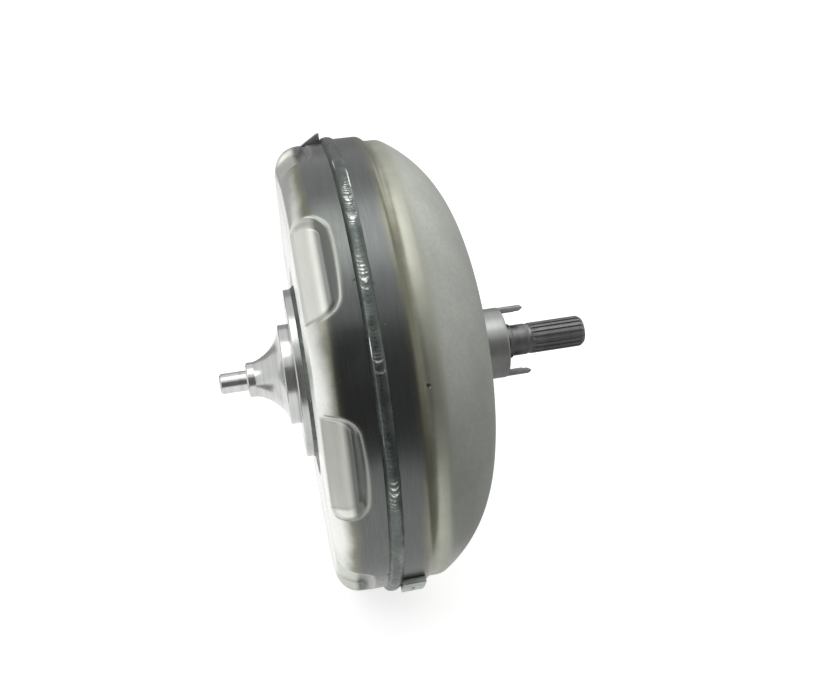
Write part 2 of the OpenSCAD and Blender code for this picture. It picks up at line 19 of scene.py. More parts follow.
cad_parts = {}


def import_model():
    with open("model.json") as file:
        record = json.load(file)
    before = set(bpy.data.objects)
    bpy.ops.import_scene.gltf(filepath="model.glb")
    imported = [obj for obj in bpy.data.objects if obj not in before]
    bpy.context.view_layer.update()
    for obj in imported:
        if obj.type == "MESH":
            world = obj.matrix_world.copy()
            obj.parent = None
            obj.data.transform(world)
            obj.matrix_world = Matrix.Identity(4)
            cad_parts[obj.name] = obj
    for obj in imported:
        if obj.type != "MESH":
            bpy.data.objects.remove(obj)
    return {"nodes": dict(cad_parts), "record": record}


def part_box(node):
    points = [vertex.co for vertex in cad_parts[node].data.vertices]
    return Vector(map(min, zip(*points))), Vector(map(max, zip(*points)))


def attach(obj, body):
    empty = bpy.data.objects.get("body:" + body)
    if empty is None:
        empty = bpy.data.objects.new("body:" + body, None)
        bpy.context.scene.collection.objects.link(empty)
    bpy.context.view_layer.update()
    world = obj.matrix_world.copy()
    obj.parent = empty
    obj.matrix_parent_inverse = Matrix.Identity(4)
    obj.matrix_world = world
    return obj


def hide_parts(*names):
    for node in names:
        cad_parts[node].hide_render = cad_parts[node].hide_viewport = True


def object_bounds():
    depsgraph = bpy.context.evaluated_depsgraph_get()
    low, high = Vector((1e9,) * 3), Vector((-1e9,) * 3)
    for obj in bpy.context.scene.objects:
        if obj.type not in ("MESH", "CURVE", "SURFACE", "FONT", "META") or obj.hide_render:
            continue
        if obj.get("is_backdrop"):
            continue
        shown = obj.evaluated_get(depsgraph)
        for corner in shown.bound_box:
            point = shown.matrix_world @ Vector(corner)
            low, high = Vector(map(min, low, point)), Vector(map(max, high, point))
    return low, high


LOG = logging.getLogger("torque_converter")
MM = 0.001
SEAT = 0.05
HOUSING = "housing"
TURBINE = "turbine"

RGB = tuple[float, float, float]
Shape = Callable[[np.ndarray, np.ndarray, np.ndarray], tuple[np.ndarray, np.ndarray, np.ndarray]]


# ---- Profiles and turned surfaces ---------------------------------------------------------------


@dataclass(frozen=True)
class Corner:
    """A corner of a turned profile, in millimetres.

    Args:
        x: Station along the shaft line.
        r: Radius.
        soft: How far the corner is rounded.
    """

    x: float
    r: float
    soft: float = 0.3


def arc(centre_x: float, centre_r: float, radius: float, start: float, end: float,
        step: float = 3.0) -> list[Corner]:
    """Makes the corners of a round stretch of a profile.

    Args:
        centre_x: Station of the arc's centre.
        centre_r: Radius at which the arc's centre lies.
        radius: Radius of the arc.
        start: First angle in degrees, from +X towards outwards.
        end: Last angle in degrees.
        step: Largest angle between two corners.

    Returns:
        The corners, both ends included.
    """
    count = max(2, math.ceil(abs(end - start) / step) + 1)
    turns = np.radians(np.linspace(start, end, count))
    return [Corner(centre_x + radius * math.cos(t), centre_r + radius * math.sin(t), 0) for t in turns]


class Profile:
    """An outline in the plane of the shaft line, with its corners rounded."""

    DENSE = 0.12
    OFFSETS = np.linspace(-2.4, 2.4, 17)

    def __init__(self, corners: Sequence[Corner], closed: bool = True) -> None:
        """Keeps the corners.

        Args:
            corners: The corners in order.
            closed: Whether the last corner joins the first one.
        """
        self.corners = list(corners)
        self.closed = closed

    def points(self, turn: float = 7.0, widest: float = 6.0) -> np.ndarray:
        """Rounds the corners and spaces the points by how much the outline bends.

        Args:
            turn: Angle in degrees that one step of the outline may turn through.
            widest: Longest step in millimetres.

        Returns:
            An array of (x, r) rows.
        """
        path, length = self._dense_path()
        soft = self._softness(length)
        total = length[-1]
        smooth = np.zeros_like(path)
        weights = np.exp(-0.5 * self.OFFSETS**2)
        weights /= weights.sum()
        for offset, weight in zip(self.OFFSETS, weights):
            at = length + offset * soft
            at = np.mod(at, total) if self.closed else np.clip(at, 0, total)
            smooth[:, 0] += weight * np.interp(at, length, path[:, 0])
            smooth[:, 1] += weight * np.interp(at, length, path[:, 1])
        return self._respaced(smooth, turn, widest)

    def _dense_path(self) -> tuple[np.ndarray, np.ndarray]:
        """Returns closely spaced points of the sharp outline, and the length up to each."""
        rows = np.array([(c.x, c.r) for c in self.corners])
        if self.closed:
            rows = np.vstack([rows, rows[:1]])
        pieces = []
        for first, last in zip(rows[:-1], rows[1:]):
            count = max(1, math.ceil(np.linalg.norm(last - first) / self.DENSE))
            pieces.append(first + (last - first) * np.linspace(0, 1, count, endpoint=False)[:, None])
        path = np.vstack([*pieces, rows[-1:]])
        length = np.concatenate([[0], np.cumsum(np.linalg.norm(np.diff(path, axis=0), axis=1))])
        return path, length

    def _softness(self, length: np.ndarray) -> np.ndarray:
        """Returns the width of the rounding at each length along the outline."""
        rows = np.array([(c.x, c.r) for c in self.corners])
        ends = np.vstack([rows, rows[:1]]) if self.closed else rows
        at = np.concatenate([[0], np.cumsum(np.linalg.norm(np.diff(ends, axis=0), axis=1))])
        total = length[-1]
        soft = np.zeros_like(length)
        for corner, station in zip(self.corners, at):
            if corner.soft <= 0:
                continue
            gap = np.abs(length - station)
            gap = np.minimum(gap, total - gap) if self.closed else gap
            soft = np.maximum(soft, 0.5 * corner.soft * np.clip(1 - gap / (3 * corner.soft), 0, 1))
        return soft

    def _respaced(self, path: np.ndarray, turn: float, widest: float) -> np.ndarray:
        """Returns fewer points, close together where the outline bends."""
        steps = np.diff(path, axis=0)
        spans = np.linalg.norm(steps, axis=1)
        heading = np.unwrap(np.arctan2(steps[:, 1], steps[:, 0]))
        bend = np.abs(np.diff(heading, prepend=heading[:1]))
        cost = bend / math.radians(turn) + spans / widest
        along = np.concatenate([[0], np.cumsum(cost)])
        count = max(8, math.ceil(along[-1]))
        wanted = np.linspace(0, along[-1], count + 1)
        rows = np.stack([np.interp(wanted, along, path[:, k]) for k in (0, 1)], axis=1)
        return rows[:-1] if self.closed else rows


def even_angles(count: int) -> np.ndarray:
    """Returns that many angles, evenly spaced round the shaft line."""
    return np.arange(count) * 2 * math.pi / count


def turned_mesh(name: str, rows: np.ndarray, angles: np.ndarray, closed: bool = True,
                shape: Shape | None = None) -> bpy.types.Object:
    """Turns a profile about the shaft line.

    Args:
        name: Name of the new object.
        rows: The (x, r) rows of the profile, in millimetres.
        angles: Angles from +Y towards +Z at which the profile stands.
        closed: Whether the profile is a loop. An open one starts and ends on the shaft line.
        shape: Moves the points, given arrays of stations, radii and angles.

    Returns:
        A smooth object whose faces point outwards.
    """
    inner = rows if closed else rows[1:-1]
    x, a = np.meshgrid(inner[:, 0], angles, indexing="ij")
    r = np.repeat(inner[:, 1:2], len(angles), axis=1)
    if shape is not None:
        x, r, a = shape(x, r, a)
    vertices = np.stack([x, r * np.cos(a), r * np.sin(a)], axis=-1).reshape(-1, 3) * MM
    across, round_ = inner.shape[0], len(angles)
    i = np.arange(across if closed else across - 1)[:, None]
    j = np.arange(round_)[None, :]
    here, there = i * round_, (i + 1) % across * round_
    after = (j + 1) % round_
    quads = np.stack(np.broadcast_arrays(here + j, there + j, there + after, here + after), axis=-1)
    faces = quads.reshape(-1, 4).tolist()
    if not closed:
        poles = np.array([[rows[0, 0], 0, 0], [rows[-1, 0], 0, 0]]) * MM
        first, last, base = len(vertices), len(vertices) + 1, (across - 1) * round_
        vertices = np.vstack([vertices, poles])
        for k in range(round_):
            nxt = (k + 1) % round_
            faces.append([first, k, nxt])
            faces.append([last, base + nxt, base + k])
    return solid(name, vertices, faces)


def solid(name: str, vertices: np.ndarray, faces: list[list[int]]) -> bpy.types.Object:
    """Makes a smooth closed object and turns its faces outwards.

    Args:
        name: Name of the object.
        vertices: Points in metres.
        faces: Corner numbers of each face, all wound the same way.

    Returns:
        The new object, linked to the scene.
    """
    mesh = bpy.data.meshes.new(name)
    mesh.from_pydata(vertices.tolist(), [], faces)
    if signed_volume(mesh) < 0:
        mesh.flip_normals()
    return link(name, mesh)


def signed_volume(mesh: bpy.types.Mesh) -> float:
    """Returns the mesh's volume, which is negative where its faces point inwards."""
    mesh.calc_loop_triangles()
    corners = np.empty(len(mesh.loop_triangles) * 3, np.int32)
    mesh.loop_triangles.foreach_get("vertices", corners)
    points = np.empty(len(mesh.vertices) * 3)
    mesh.vertices.foreach_get("co", points)
    a, b, c = points.reshape(-1, 3)[corners.reshape(-1, 3)].transpose(1, 0, 2)
    return float(np.einsum("ij,ij->", a, np.cross(b, c)) / 6)


def link(name: str, mesh: bpy.types.Mesh, sharp: float = 38.0) -> bpy.types.Object:
    """Puts a mesh into the scene as a smooth object.

    Args:
        name: Name of the object.
        mesh: The mesh.
        sharp: Angle in degrees above which an edge stays sharp.

    Returns:
        The object.
    """
    mesh.polygons.foreach_set("use_smooth", [True] * len(mesh.polygons))
    mesh.set_sharp_from_angle(angle=math.radians(sharp))
    made = bpy.data.objects.new(name, mesh)
    bpy.context.scene.collection.objects.link(made)
    return made


def set_attribute(piece: bpy.types.Object, name: str, values: np.ndarray) -> None:
    """Stores one number at each point of a piece's mesh.

    Args:
        piece: The piece.
        name: Name of the attribute.
        values: One value for each point.
    """
    attribute = piece.data.attributes.new(name, "FLOAT", "POINT")
    attribute.data.foreach_set("value", values.astype(np.float32).ravel())


def evaluated(piece: bpy.types.Object, name: str) -> bpy.types.Object:
    """Turns a piece with live modifiers into a plain one.

    Args:
        piece: The object, which is removed.
        name: Name of the plain object.

    Returns:
        The plain object.
    """
    depsgraph = bpy.context.evaluated_depsgraph_get()
    mesh = bpy.data.meshes.new_from_object(piece.evaluated_get(depsgraph))
    piece.modifiers.clear()
    bpy.data.objects.remove(piece)
    mesh.name = name
    return link(name, mesh)


class Cut(Enum):
    """How two solids are combined."""

    UNION = "UNION"
    DIFFERENCE = "DIFFERENCE"


def combined(piece: bpy.types.Object, other: bpy.types.Object, cut: Cut) -> bpy.types.Object:
    """Joins a second solid to a piece, or takes it away.

    Args:
        piece: The piece, which is replaced.
        other: The second solid, which is removed.
        cut: Whether it is added or taken away.

    Returns:
        The new piece, under the old name.
    """
    name = piece.name
    piece.name = name + "_before"
    modifier = piece.modifiers.new("combine", "BOOLEAN")
    modifier.operation = cut.value
    modifier.solver = "EXACT"
    modifier.object = other
    made = evaluated(piece, name)
    bpy.data.objects.remove(other)
    return made


def bevelled_block(name: str, outline: Sequence[tuple[float, float]], width: float, bevel: float,
                   cuts: int = 12) -> bpy.types.Object:
    """Extrudes an outline across the tangent direction, with rounded edges.

    Args:
        name: Name of the object.
        outline: (x, r) corners of the cross-section, in millimetres.
        width: Width of the block along the tangent.
        bevel: Rounding of its edges.
        cuts: Number of cuts across the width, so that the block can bend.

    Returns:
        The block, standing along +Y, with its width along Z.
    """
    made = bmesh.new()
    ends = (-width / 2, width / 2)
    sides = [[made.verts.new((x * MM, r * MM, z * MM)) for x, r in outline] for z in ends]
    made.faces.new(sides[0])
    made.faces.new(sides[1][::-1])
    count = len(outline)
    for k in range(count):
        made.faces.new([sides[0][k], sides[1][k], sides[1][(k + 1) % count], sides[0][(k + 1) % count]])
    bmesh.ops.recalc_face_normals(made, faces=made.faces)
    bmesh.ops.bevel(made, geom=list(made.edges), offset=bevel * MM, segments=3, profile=0.5,
                    affect="EDGES", clamp_overlap=True)
    for z in np.linspace(-width / 2, width / 2, cuts + 2)[1:-1]:
        geometry = list(made.verts) + list(made.edges) + list(made.faces)
        bmesh.ops.bisect_plane(made, geom=geometry, plane_co=(0, 0, z * MM), plane_no=(0, 0, 1))
    mesh = bpy.data.meshes.new(name)
    made.to_mesh(mesh)
    made.free()
    return link(name, mesh)


def turn_about_shaft(piece: bpy.types.Object, angle: float) -> None:
    """Turns a piece's mesh about the shaft line.

    Args:
        piece: The piece.
        angle: Angle in degrees, from +Y towards +Z.
    """
    piece.data.transform(Matrix.Rotation(math.radians(angle), 4, "X"))


def bend_round_shaft(piece: bpy.types.Object) -> None:
    """Bends a block that stands along +Y, so that its flat faces lie round the shaft line."""
    for vertex in piece.data.vertices:
        vertex.co.y = math.sqrt(vertex.co.y**2 - vertex.co.z**2)


def dress(piece: bpy.types.Object, material: bpy.types.Material) -> None:
    """Gives a piece its one material."""
    piece.data.materials.clear()
    piece.data.materials.append(material)


def install(piece: bpy.types.Object, body: str, nodes: Sequence[str],
            material: bpy.types.Material) -> None:
    """Dresses a finished piece and ties it to the frame.

    Args:
        piece: The piece.
        body: Body that it moves with.
        nodes: CAD nodes that it stands for.
        material: Its material.
    """
    dress(piece, material)
    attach(piece, body)
    if nodes:
        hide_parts(*nodes)
    LOG.info("%s: %d faces on %s", piece.name, len(piece.data.polygons), body)


# ---- Node trees ---------------------------------------------------------------------------------


class NodeBuilder:
    """Adds nodes to a node tree."""

    def __init__(self, tree: bpy.types.NodeTree) -> None:
        """Keeps the tree.

        Args:
            tree: The tree that nodes are added to.
        """
        self.tree = tree

    def add(self, kind: str, values: dict[str | int, object] | None = None,
            **settings: object) -> bpy.types.Node:
        """Adds a node.

        Args:
            kind: Type of the node.
            values: A value or a socket for each of its inputs, by name or number.
            **settings: Properties of the node.

        Returns:
            The node.
        """
        node = self.tree.nodes.new(kind)
        for key, value in settings.items():
            setattr(node, key, value)
        for key, value in (values or {}).items():
            self.feed(node.inputs[key], value)
        return node

    def feed(self, socket: bpy.types.NodeSocket, value: object) -> None:
        """Wires a socket to another one, or sets it to a value or a colour."""
        if isinstance(value, bpy.types.NodeSocket):
            self.tree.links.new(value, socket)
        elif isinstance(value, tuple) and socket.type == "RGBA":
            socket.default_value = (*value, 1.0)
        else:
            socket.default_value = value

    def math(self, operation: str, first: object, second: object = 0.0) -> bpy.types.NodeSocket:
        """Adds a Math node and returns its result."""
        return self.add("ShaderNodeMath", {0: first, 1: second}, operation=operation).outputs[0]


class GeometryTree(NodeBuilder):
    """A Geometry Nodes tree with named inputs, ending in Realize Instances and Set Material."""

    def __init__(self, name: str) -> None:
        """Starts a tree that takes and gives a geometry.

        Args:
            name: Name of the tree.
        """
        super().__init__(bpy.data.node_groups.new(name, "GeometryNodeTree"))
        self.tree.is_modifier = True
        self.identifiers: dict[str, str] = {}
        for way in ("INPUT", "OUTPUT"):
            self.tree.interface.new_socket("Geometry", in_out=way, socket_type="NodeSocketGeometry")
        self.inputs = self.add("NodeGroupInput")
        self.output = self.add("NodeGroupOutput")

    def size(self, name: str, kind: str = "NodeSocketFloat") -> bpy.types.NodeSocket:
        """Adds a named input.

        Args:
            name: Name of the input.
            kind: Socket type.

        Returns:
            The socket that carries its value.
        """
        made = self.tree.interface.new_socket(name, in_out="INPUT", socket_type=kind)
        self.identifiers[name] = made.identifier
        return self.inputs.outputs[name]

    def finish(self, geometry: bpy.types.NodeSocket) -> None:
        """Ends the tree in Realize Instances and Set Material."""
        real = self.add("GeometryNodeRealizeInstances", {"Geometry": geometry})
        material = self.size("Material", "NodeSocketMaterial")
        dressed = self.add("GeometryNodeSetMaterial", {"Geometry": real.outputs[0], "Material": material})
        self.feed(self.output.inputs["Geometry"], dressed.outputs[0])

    def run(self, piece: bpy.types.Object, name: str, values: dict[str, object]) -> bpy.types.Object:
        """Runs the tree on a piece and keeps the result as a plain mesh.

        Args:
            piece: The piece, which is used up.
            name: Name of the result.
            values: Value of each named input.

        Returns:
            The plain object.
        """
        modifier = piece.modifiers.new("tree", "NODES")
        modifier.node_group = self.tree
        for key, value in values.items():
            modifier[self.identifiers[key]] = value
        return evaluated(piece, name)


class CircleTree(GeometryTree):
    """Copies the incoming geometry round the shaft line."""

    def __init__(self) -> None:
        """Builds the tree, with the inputs Count, Radius and First angle."""
        super().__init__("copies_round_the_shaft")
        count = self.size("Count", "NodeSocketInt")
        radius = self.size("Radius")
        first = self.size("First angle")
        index = self.add("GeometryNodeInputIndex").outputs[0]
        turned = self.math("DIVIDE", self.math("MULTIPLY", index, 2 * math.pi), count)
        angle = self.math("ADD", first, turned)
        y = self.math("MULTIPLY", radius, self.math("COSINE", angle))
        z = self.math("MULTIPLY", radius, self.math("SINE", angle))
        place = self.add("ShaderNodeCombineXYZ", {"Y": y, "Z": z}).outputs[0]
        points = self.add("GeometryNodePoints", {"Count": count, "Position": place})
        turn = self.add("ShaderNodeCombineXYZ", {"X": angle}).outputs[0]
        copies = self.add("GeometryNodeInstanceOnPoints", {
            "Points": points.outputs[0], "Instance": self.inputs.outputs["Geometry"], "Rotation": turn})
        self.finish(copies.outputs[0])


class SpatterTree(GeometryTree):
    """Scatters flattened droplets of weld metal over the incoming surface."""

    def __init__(self) -> None:
        """Builds the tree, with the inputs Density, Smallest, Largest, Seam, Reach and Seed."""
        super().__init__("weld_spatter")
        density = self.size("Density")
        smallest = self.size("Smallest")
        largest = self.size("Largest")
        seam = self.size("Seam")
        reach = self.size("Reach")
        seed = self.size("Seed", "NodeSocketInt")
        place = self.add("ShaderNodeSeparateXYZ", {0: self.add("GeometryNodeInputPosition").outputs[0]})
        away = self.math("ABSOLUTE", self.math("SUBTRACT", place.outputs["X"], seam))
        near = self.math("POWER", self.math("MAXIMUM", self.math("SUBTRACT", 1.0, self.math(
            "DIVIDE", away, reach)), 0.0), 2.0)
        clumps = self.add("ShaderNodeTexNoise", {"Scale": 22.0, "Detail": 2.0}).outputs[0]
        clumpy = self.math("POWER", self.math("MULTIPLY", clumps, 1.75), 6.0)
        spread = self.math("MULTIPLY", density, self.math("MULTIPLY", near, clumpy))
        scatter = self.add("GeometryNodeDistributePointsOnFaces", {
            "Mesh": self.inputs.outputs["Geometry"], "Density": spread, "Seed": seed},
            distribute_method="RANDOM")
        drop = self.add("GeometryNodeMeshUVSphere", {"Segments": 8, "Rings": 5, "Radius": 1.0})
        flat = self.add("GeometryNodeTransform", {"Geometry": drop.outputs[0], "Scale": (1.0, 1.0, 0.6)})
        chance = self.add("FunctionNodeRandomValue", {"Seed": seed}, data_type="FLOAT").outputs[1]
        grown = self.math("POWER", chance, 3.0)
        span = self.math("SUBTRACT", largest, smallest)
        scale = self.math("ADD", smallest, self.math("MULTIPLY", span, grown))
        copies = self.add("GeometryNodeInstanceOnPoints", {
            "Points": scatter.outputs["Points"], "Instance": flat.outputs[0],
            "Rotation": scatter.outputs["Rotation"], "Scale": scale})
        self.finish(copies.outputs[0])


# ---- Finishes -----------------------------------------------------------------------------------


class Shader(NodeBuilder):
    """Builds one procedural material on Object coordinates."""

    MIX_INPUTS = (0, 6, 7)
    MIX_RESULT = 2

    def __init__(self, name: str, roughness: float, metallic: float = 1.0) -> None:
        """Starts a material.

        Args:
            name: Name of the material.
            roughness: Roughness before any pattern is added.
            metallic: How metallic it is.
        """
        self.material = bpy.data.materials.new(name)
        self.material.use_nodes = True
        super().__init__(self.material.node_tree)
        self.surface = self.tree.nodes["Principled BSDF"]
        self.surface.inputs["Roughness"].default_value = roughness
        self.surface.inputs["Metallic"].default_value = metallic
        self.place = self.add("ShaderNodeTexCoord").outputs["Object"]
        parts = self.add("ShaderNodeSeparateXYZ", {0: self.place})
        self.x, y, z = parts.outputs
        squares = self.math("ADD", self.math("MULTIPLY", y, y), self.math("MULTIPLY", z, z))
        self.radius = self.math("SQRT", squares)

    def noise(self, vector: bpy.types.NodeSocket, scale: float, detail: float = 3.0,
              rough: float = 0.55) -> bpy.types.NodeSocket:
        """Adds a noise and returns its value, from 0 to 1."""
        node = self.add("ShaderNodeTexNoise", {
            "Vector": vector, "Scale": scale, "Detail": detail, "Roughness": rough})
        return node.outputs[0]

    def lathe_marks(self, scale: float, detail: float = 2.0) -> bpy.types.NodeSocket:
        """Adds fine rings round the shaft line and returns their height, from 0 to 1."""
        along = self.math("ADD", self.x, self.math("MULTIPLY", self.radius, 0.9))
        vector = self.add("ShaderNodeCombineXYZ", {"X": along}).outputs[0]
        return self.noise(vector, scale, detail, 0.7)

    def drawn_marks(self, stretch: float, scale: float) -> bpy.types.NodeSocket:
        """Adds streaks that run round the shaft line and returns their height, from 0 to 1."""
        mapping = self.add("ShaderNodeMapping", {"Vector": self.place, "Scale": (stretch, 1.0, 1.0)})
        return self.noise(mapping.outputs[0], scale, 3.0, 0.6)

    def ramp(self, value: bpy.types.NodeSocket, low: float, high: float, start: float = 0.0,
             end: float = 1.0) -> bpy.types.NodeSocket:
        """Maps a value from one range to another, smoothly and without passing its ends."""
        node = self.add("ShaderNodeMapRange", {0: value, 1: low, 2: high, 3: start, 4: end},
                        interpolation_type="SMOOTHSTEP")
        return node.outputs[0]

    def mix(self, share: object, first: object, second: object) -> bpy.types.NodeSocket:
        """Mixes two colours and returns the result."""
        node = self.add("ShaderNodeMix", data_type="RGBA")
        for key, value in zip(self.MIX_INPUTS, (share, first, second)):
            self.feed(node.inputs[key], value)
        return node.outputs[self.MIX_RESULT]

    def attribute(self, name: str) -> bpy.types.NodeSocket:
        """Reads a number that the piece's mesh carries at each point."""
        return self.add("ShaderNodeAttribute", attribute_name=name).outputs["Fac"]

    def colour(self, value: object) -> None:
        """Sets the base colour to a socket or a plain colour."""
        self.feed(self.surface.inputs["Base Color"], value)

    def roughness(self, value: bpy.types.NodeSocket) -> None:
        """Wires the roughness."""
        self.feed(self.surface.inputs["Roughness"], value)

    def bump(self, layers: Sequence[tuple[bpy.types.NodeSocket, float]]) -> None:
        """Adds bumps, each a height and its depth in millimetres."""
        normal = None
        for height, depth in layers:
            values = {"Height": height, "Distance": depth * MM, "Strength": 1.0}
            if normal is not None:
                values["Normal"] = normal
            normal = self.add("ShaderNodeBump", values).outputs[0]
        self.feed(self.surface.inputs["Normal"], normal)


@dataclass(frozen=True)
class TurnedFinish:
    """Steel turned on a lathe, with fine rings and a little handling dirt.

    Args:
        name: Name of the material.
        light: Colour of the clean metal.
        dark: Colour where it is stained.
        roughness: Mean roughness.
        rings: Depth of the rings, in millimetres.
        stain: How much of the stain shows.
    """

    name: str
    light: RGB
    dark: RGB
    roughness: float = 0.28
    rings: float = 0.02
    stain: float = 0.5

    def material(self) -> bpy.types.Material:
        """Returns the material."""
        made = Shader(self.name, self.roughness)
        marks = made.lathe_marks(1400.0)
        coarse = made.lathe_marks(160.0, 1.0)
        cloud = made.noise(made.place, 38.0, 5.0)
        specks = made.noise(made.place, 420.0, 2.0)
        share = made.math("MULTIPLY", made.ramp(cloud, 0.42, 0.75), self.stain)
        base = made.mix(share, self.light, self.dark)
        ringed = made.mix(made.ramp(coarse, 0.35, 0.7, 0.0, 0.35), base, self.dark)
        made.colour(made.mix(made.ramp(specks, 0.68, 0.8, 0.0, 0.4), ringed, self.dark))
        ground = made.ramp(marks, 0.2, 0.8, self.roughness - 0.06, self.roughness + 0.08)
        made.roughness(made.math("ADD", ground, made.math("MULTIPLY", share, 0.12)))
        made.bump([(marks, self.rings), (specks, self.rings * 0.6)])
        return made.material


@dataclass(frozen=True)
class CoverFinish:
    """Pressed cover: satin pads and pockets, and blue-black heat tint towards the rim weld that is
    painted near-black, partly a painted dark reflection.

    Args:
        front_x: Station of the pads' front face, in millimetres.
    """

    front_x: float

    def material(self) -> bpy.types.Material:
        """Returns the material."""
        made = Shader("pressed_cover_steel", 0.3)
        cloud = made.noise(made.place, 30.0, 5.0)
        grain = made.noise(made.place, 900.0, 2.0)
        streaks = made.drawn_marks(18.0, 60.0)
        wander = made.math("MULTIPLY", made.math("SUBTRACT", cloud, 0.5), 9 * MM)
        x = made.math("ADD", made.x, wander)
        satin = made.mix(made.ramp(cloud, 0.4, 0.7), (0.7, 0.71, 0.68), (0.58, 0.59, 0.55))
        olive = made.mix(made.ramp(streaks, 0.3, 0.75), (0.2, 0.2, 0.15), (0.17, 0.17, 0.13))
        # Blue-black heat tint, painted near-black: partly the steel's own tint, partly a painted dark
        # reflection.
        blued_with_painted_reflection = made.mix(made.ramp(streaks, 0.3, 0.75), (0.105, 0.112, 0.108), (0.125, 0.132, 0.126))
        start = self.front_x + 2.5
        to_olive = made.ramp(x, start * MM, (start + 8) * MM)
        # Ramps into the near-black tint and painted dark reflection towards the rim weld.
        to_blue_and_painted_reflection = made.ramp(x, (start + 5) * MM, (start + 13) * MM)
        skirt = made.mix(to_blue_and_painted_reflection, made.mix(to_olive, satin, olive), blued_with_painted_reflection)
        pressed = made.attribute("pressed")
        floor = made.mix(made.ramp(streaks, 0.3, 0.75), (0.58, 0.59, 0.55), (0.54, 0.55, 0.51))
        # Painted shade: a dark line round each pocket's mouth, where its walls fall into shade.
        pocket_rim_shaded = made.mix(made.attribute("edge"), skirt, (0.29, 0.3, 0.27))
        made.colour(made.mix(pressed, pocket_rim_shaded, floor))
        dull = made.math("MULTIPLY", pressed, 0.16)
        made.roughness(made.math("ADD", made.ramp(cloud, 0.3, 0.7, 0.24, 0.34), dull))
        made.bump([(grain, 0.01), (streaks, 0.004)])
        return made.material


@dataclass(frozen=True)
class ShellFinish:
    """Impeller shell: a blue-black heat-tinted band beside the rim weld, painted near-black as partly a
    painted dark reflection, then a blasted light grey bowl.

    Args:
        band_end: Station where the band ends, in millimetres.
    """

    band_end: float

    def material(self) -> bpy.types.Material:
        """Returns the material."""
        made = Shader("blasted_shell_steel", 0.5)
        cloud = made.noise(made.place, 24.0, 5.0)
        grain = made.noise(made.place, 1500.0, 2.0)
        fine = made.noise(made.place, 420.0, 3.0)
        streaks = made.drawn_marks(22.0, 55.0)
        wander = made.math("MULTIPLY", made.math("SUBTRACT", cloud, 0.5), 5 * MM)
        x = made.math("ADD", made.x, wander)
        blasted = made.mix(made.ramp(cloud, 0.35, 0.7), (0.42, 0.435, 0.4), (0.36, 0.375, 0.345))
        mottled = made.mix(made.ramp(fine, 0.35, 0.7, 0.0, 0.3), blasted, (0.3, 0.31, 0.28))
        # Blue-black heat tint, painted near-black: partly the steel's own tint, partly a painted dark
        # reflection.
        blued_with_painted_reflection = made.mix(made.ramp(streaks, 0.3, 0.75), (0.1, 0.107, 0.104), (0.12, 0.127, 0.123))
        tint = made.mix(made.ramp(cloud, 0.4, 0.6), (0.16, 0.16, 0.12), (0.2, 0.197, 0.145))
        stained = made.mix(made.ramp(cloud, 0.3, 0.7), (0.33, 0.335, 0.28), (0.4, 0.405, 0.345))
        end = self.band_end
        to_tint = made.ramp(x, (end - 7.0) * MM, (end + 0.5) * MM)
        to_stain = made.ramp(x, (end + 0.0) * MM, (end + 7.0) * MM)
        to_bowl = made.ramp(x, (end + 9.0) * MM, (end + 18.0) * MM)
        edge = made.mix(to_stain, made.mix(to_tint, blued_with_painted_reflection, tint), stained)
        made.colour(made.mix(to_bowl, edge, mottled))
        made.roughness(made.ramp(x, (end - 1.0) * MM, (end + 12.0) * MM, 0.34, 0.56))
        made.bump([(grain, 0.012), (fine, 0.02)])
        return made.material


@dataclass(frozen=True)
class WeldFinish:
    """Weld metal: rough, with a blue-green oxide, bright crests that are partly wear and partly painted
    glints, and painted highlights along the lips.

    Args:
        name: Name of the material.
        bright: How bright the crests' wear and painted glints and the lips' painted highlights are.
    """

    name: str
    bright: float = 0.85

    def material(self) -> bpy.types.Material:
        """Returns the material."""
        made = Shader(self.name, 0.34)
        cloud = made.noise(made.place, 60.0, 5.0)
        fine = made.noise(made.place, 700.0, 4.0, 0.7)
        oxide = made.mix(made.ramp(cloud, 0.35, 0.65), (0.08, 0.092, 0.086), (0.12, 0.135, 0.126))
        patches = made.ramp(made.noise(made.place, 30.0, 3.0), 0.53, 0.6)
        # Bright patches on the ripple crests: partly wear, partly painted glints.
        crest = made.ramp(made.attribute("crest"), 0.35, 0.8)
        wear_and_glint = made.math("MULTIPLY", made.math("MULTIPLY", crest, patches), made.ramp(fine, 0.42, 0.55))
        # The lip attribute adds painted highlights along the bead's edges.
        shown = made.math("MAXIMUM", wear_and_glint, made.ramp(made.attribute("lip"), 0.35, 0.8))
        grey = self.bright
        made.colour(made.mix(shown, oxide, (grey, grey, grey * 0.97)))
        made.roughness(made.ramp(fine, 0.3, 0.7, 0.24, 0.5))
        made.bump([(fine, 0.08)])
        return made.material


@dataclass(frozen=True)
class PlainFinish:
    """Plain steel, bronze or aluminium with a fine grain.

    Args:
        name: Name of the material.
        light: Colour of most of the surface.
        dark: Colour of its clouds and pits.
        roughness: Mean roughness.
        grain: Scale of the grain.
        depth: Depth of the grain, in millimetres.
    """

    name: str
    light: RGB
    dark: RGB
    roughness: float
    grain: float = 600.0
    depth: float = 0.01

    def material(self) -> bpy.types.Material:
        """Returns the material."""
        made = Shader(self.name, self.roughness)
        cloud = made.noise(made.place, 70.0, 4.0)
        fine = made.noise(made.place, self.grain, 3.0)
        base = made.mix(made.ramp(cloud, 0.35, 0.7), self.light, self.dark)
        made.colour(made.mix(made.ramp(fine, 0.62, 0.75, 0.0, 0.5), base, self.dark))
        made.roughness(made.ramp(fine, 0.3, 0.7, self.roughness - 0.06, self.roughness + 0.08))
        made.bump([(fine, self.depth)])
        return made.material


# ---- Sub-assemblies -----------------------------------------------------------------------------


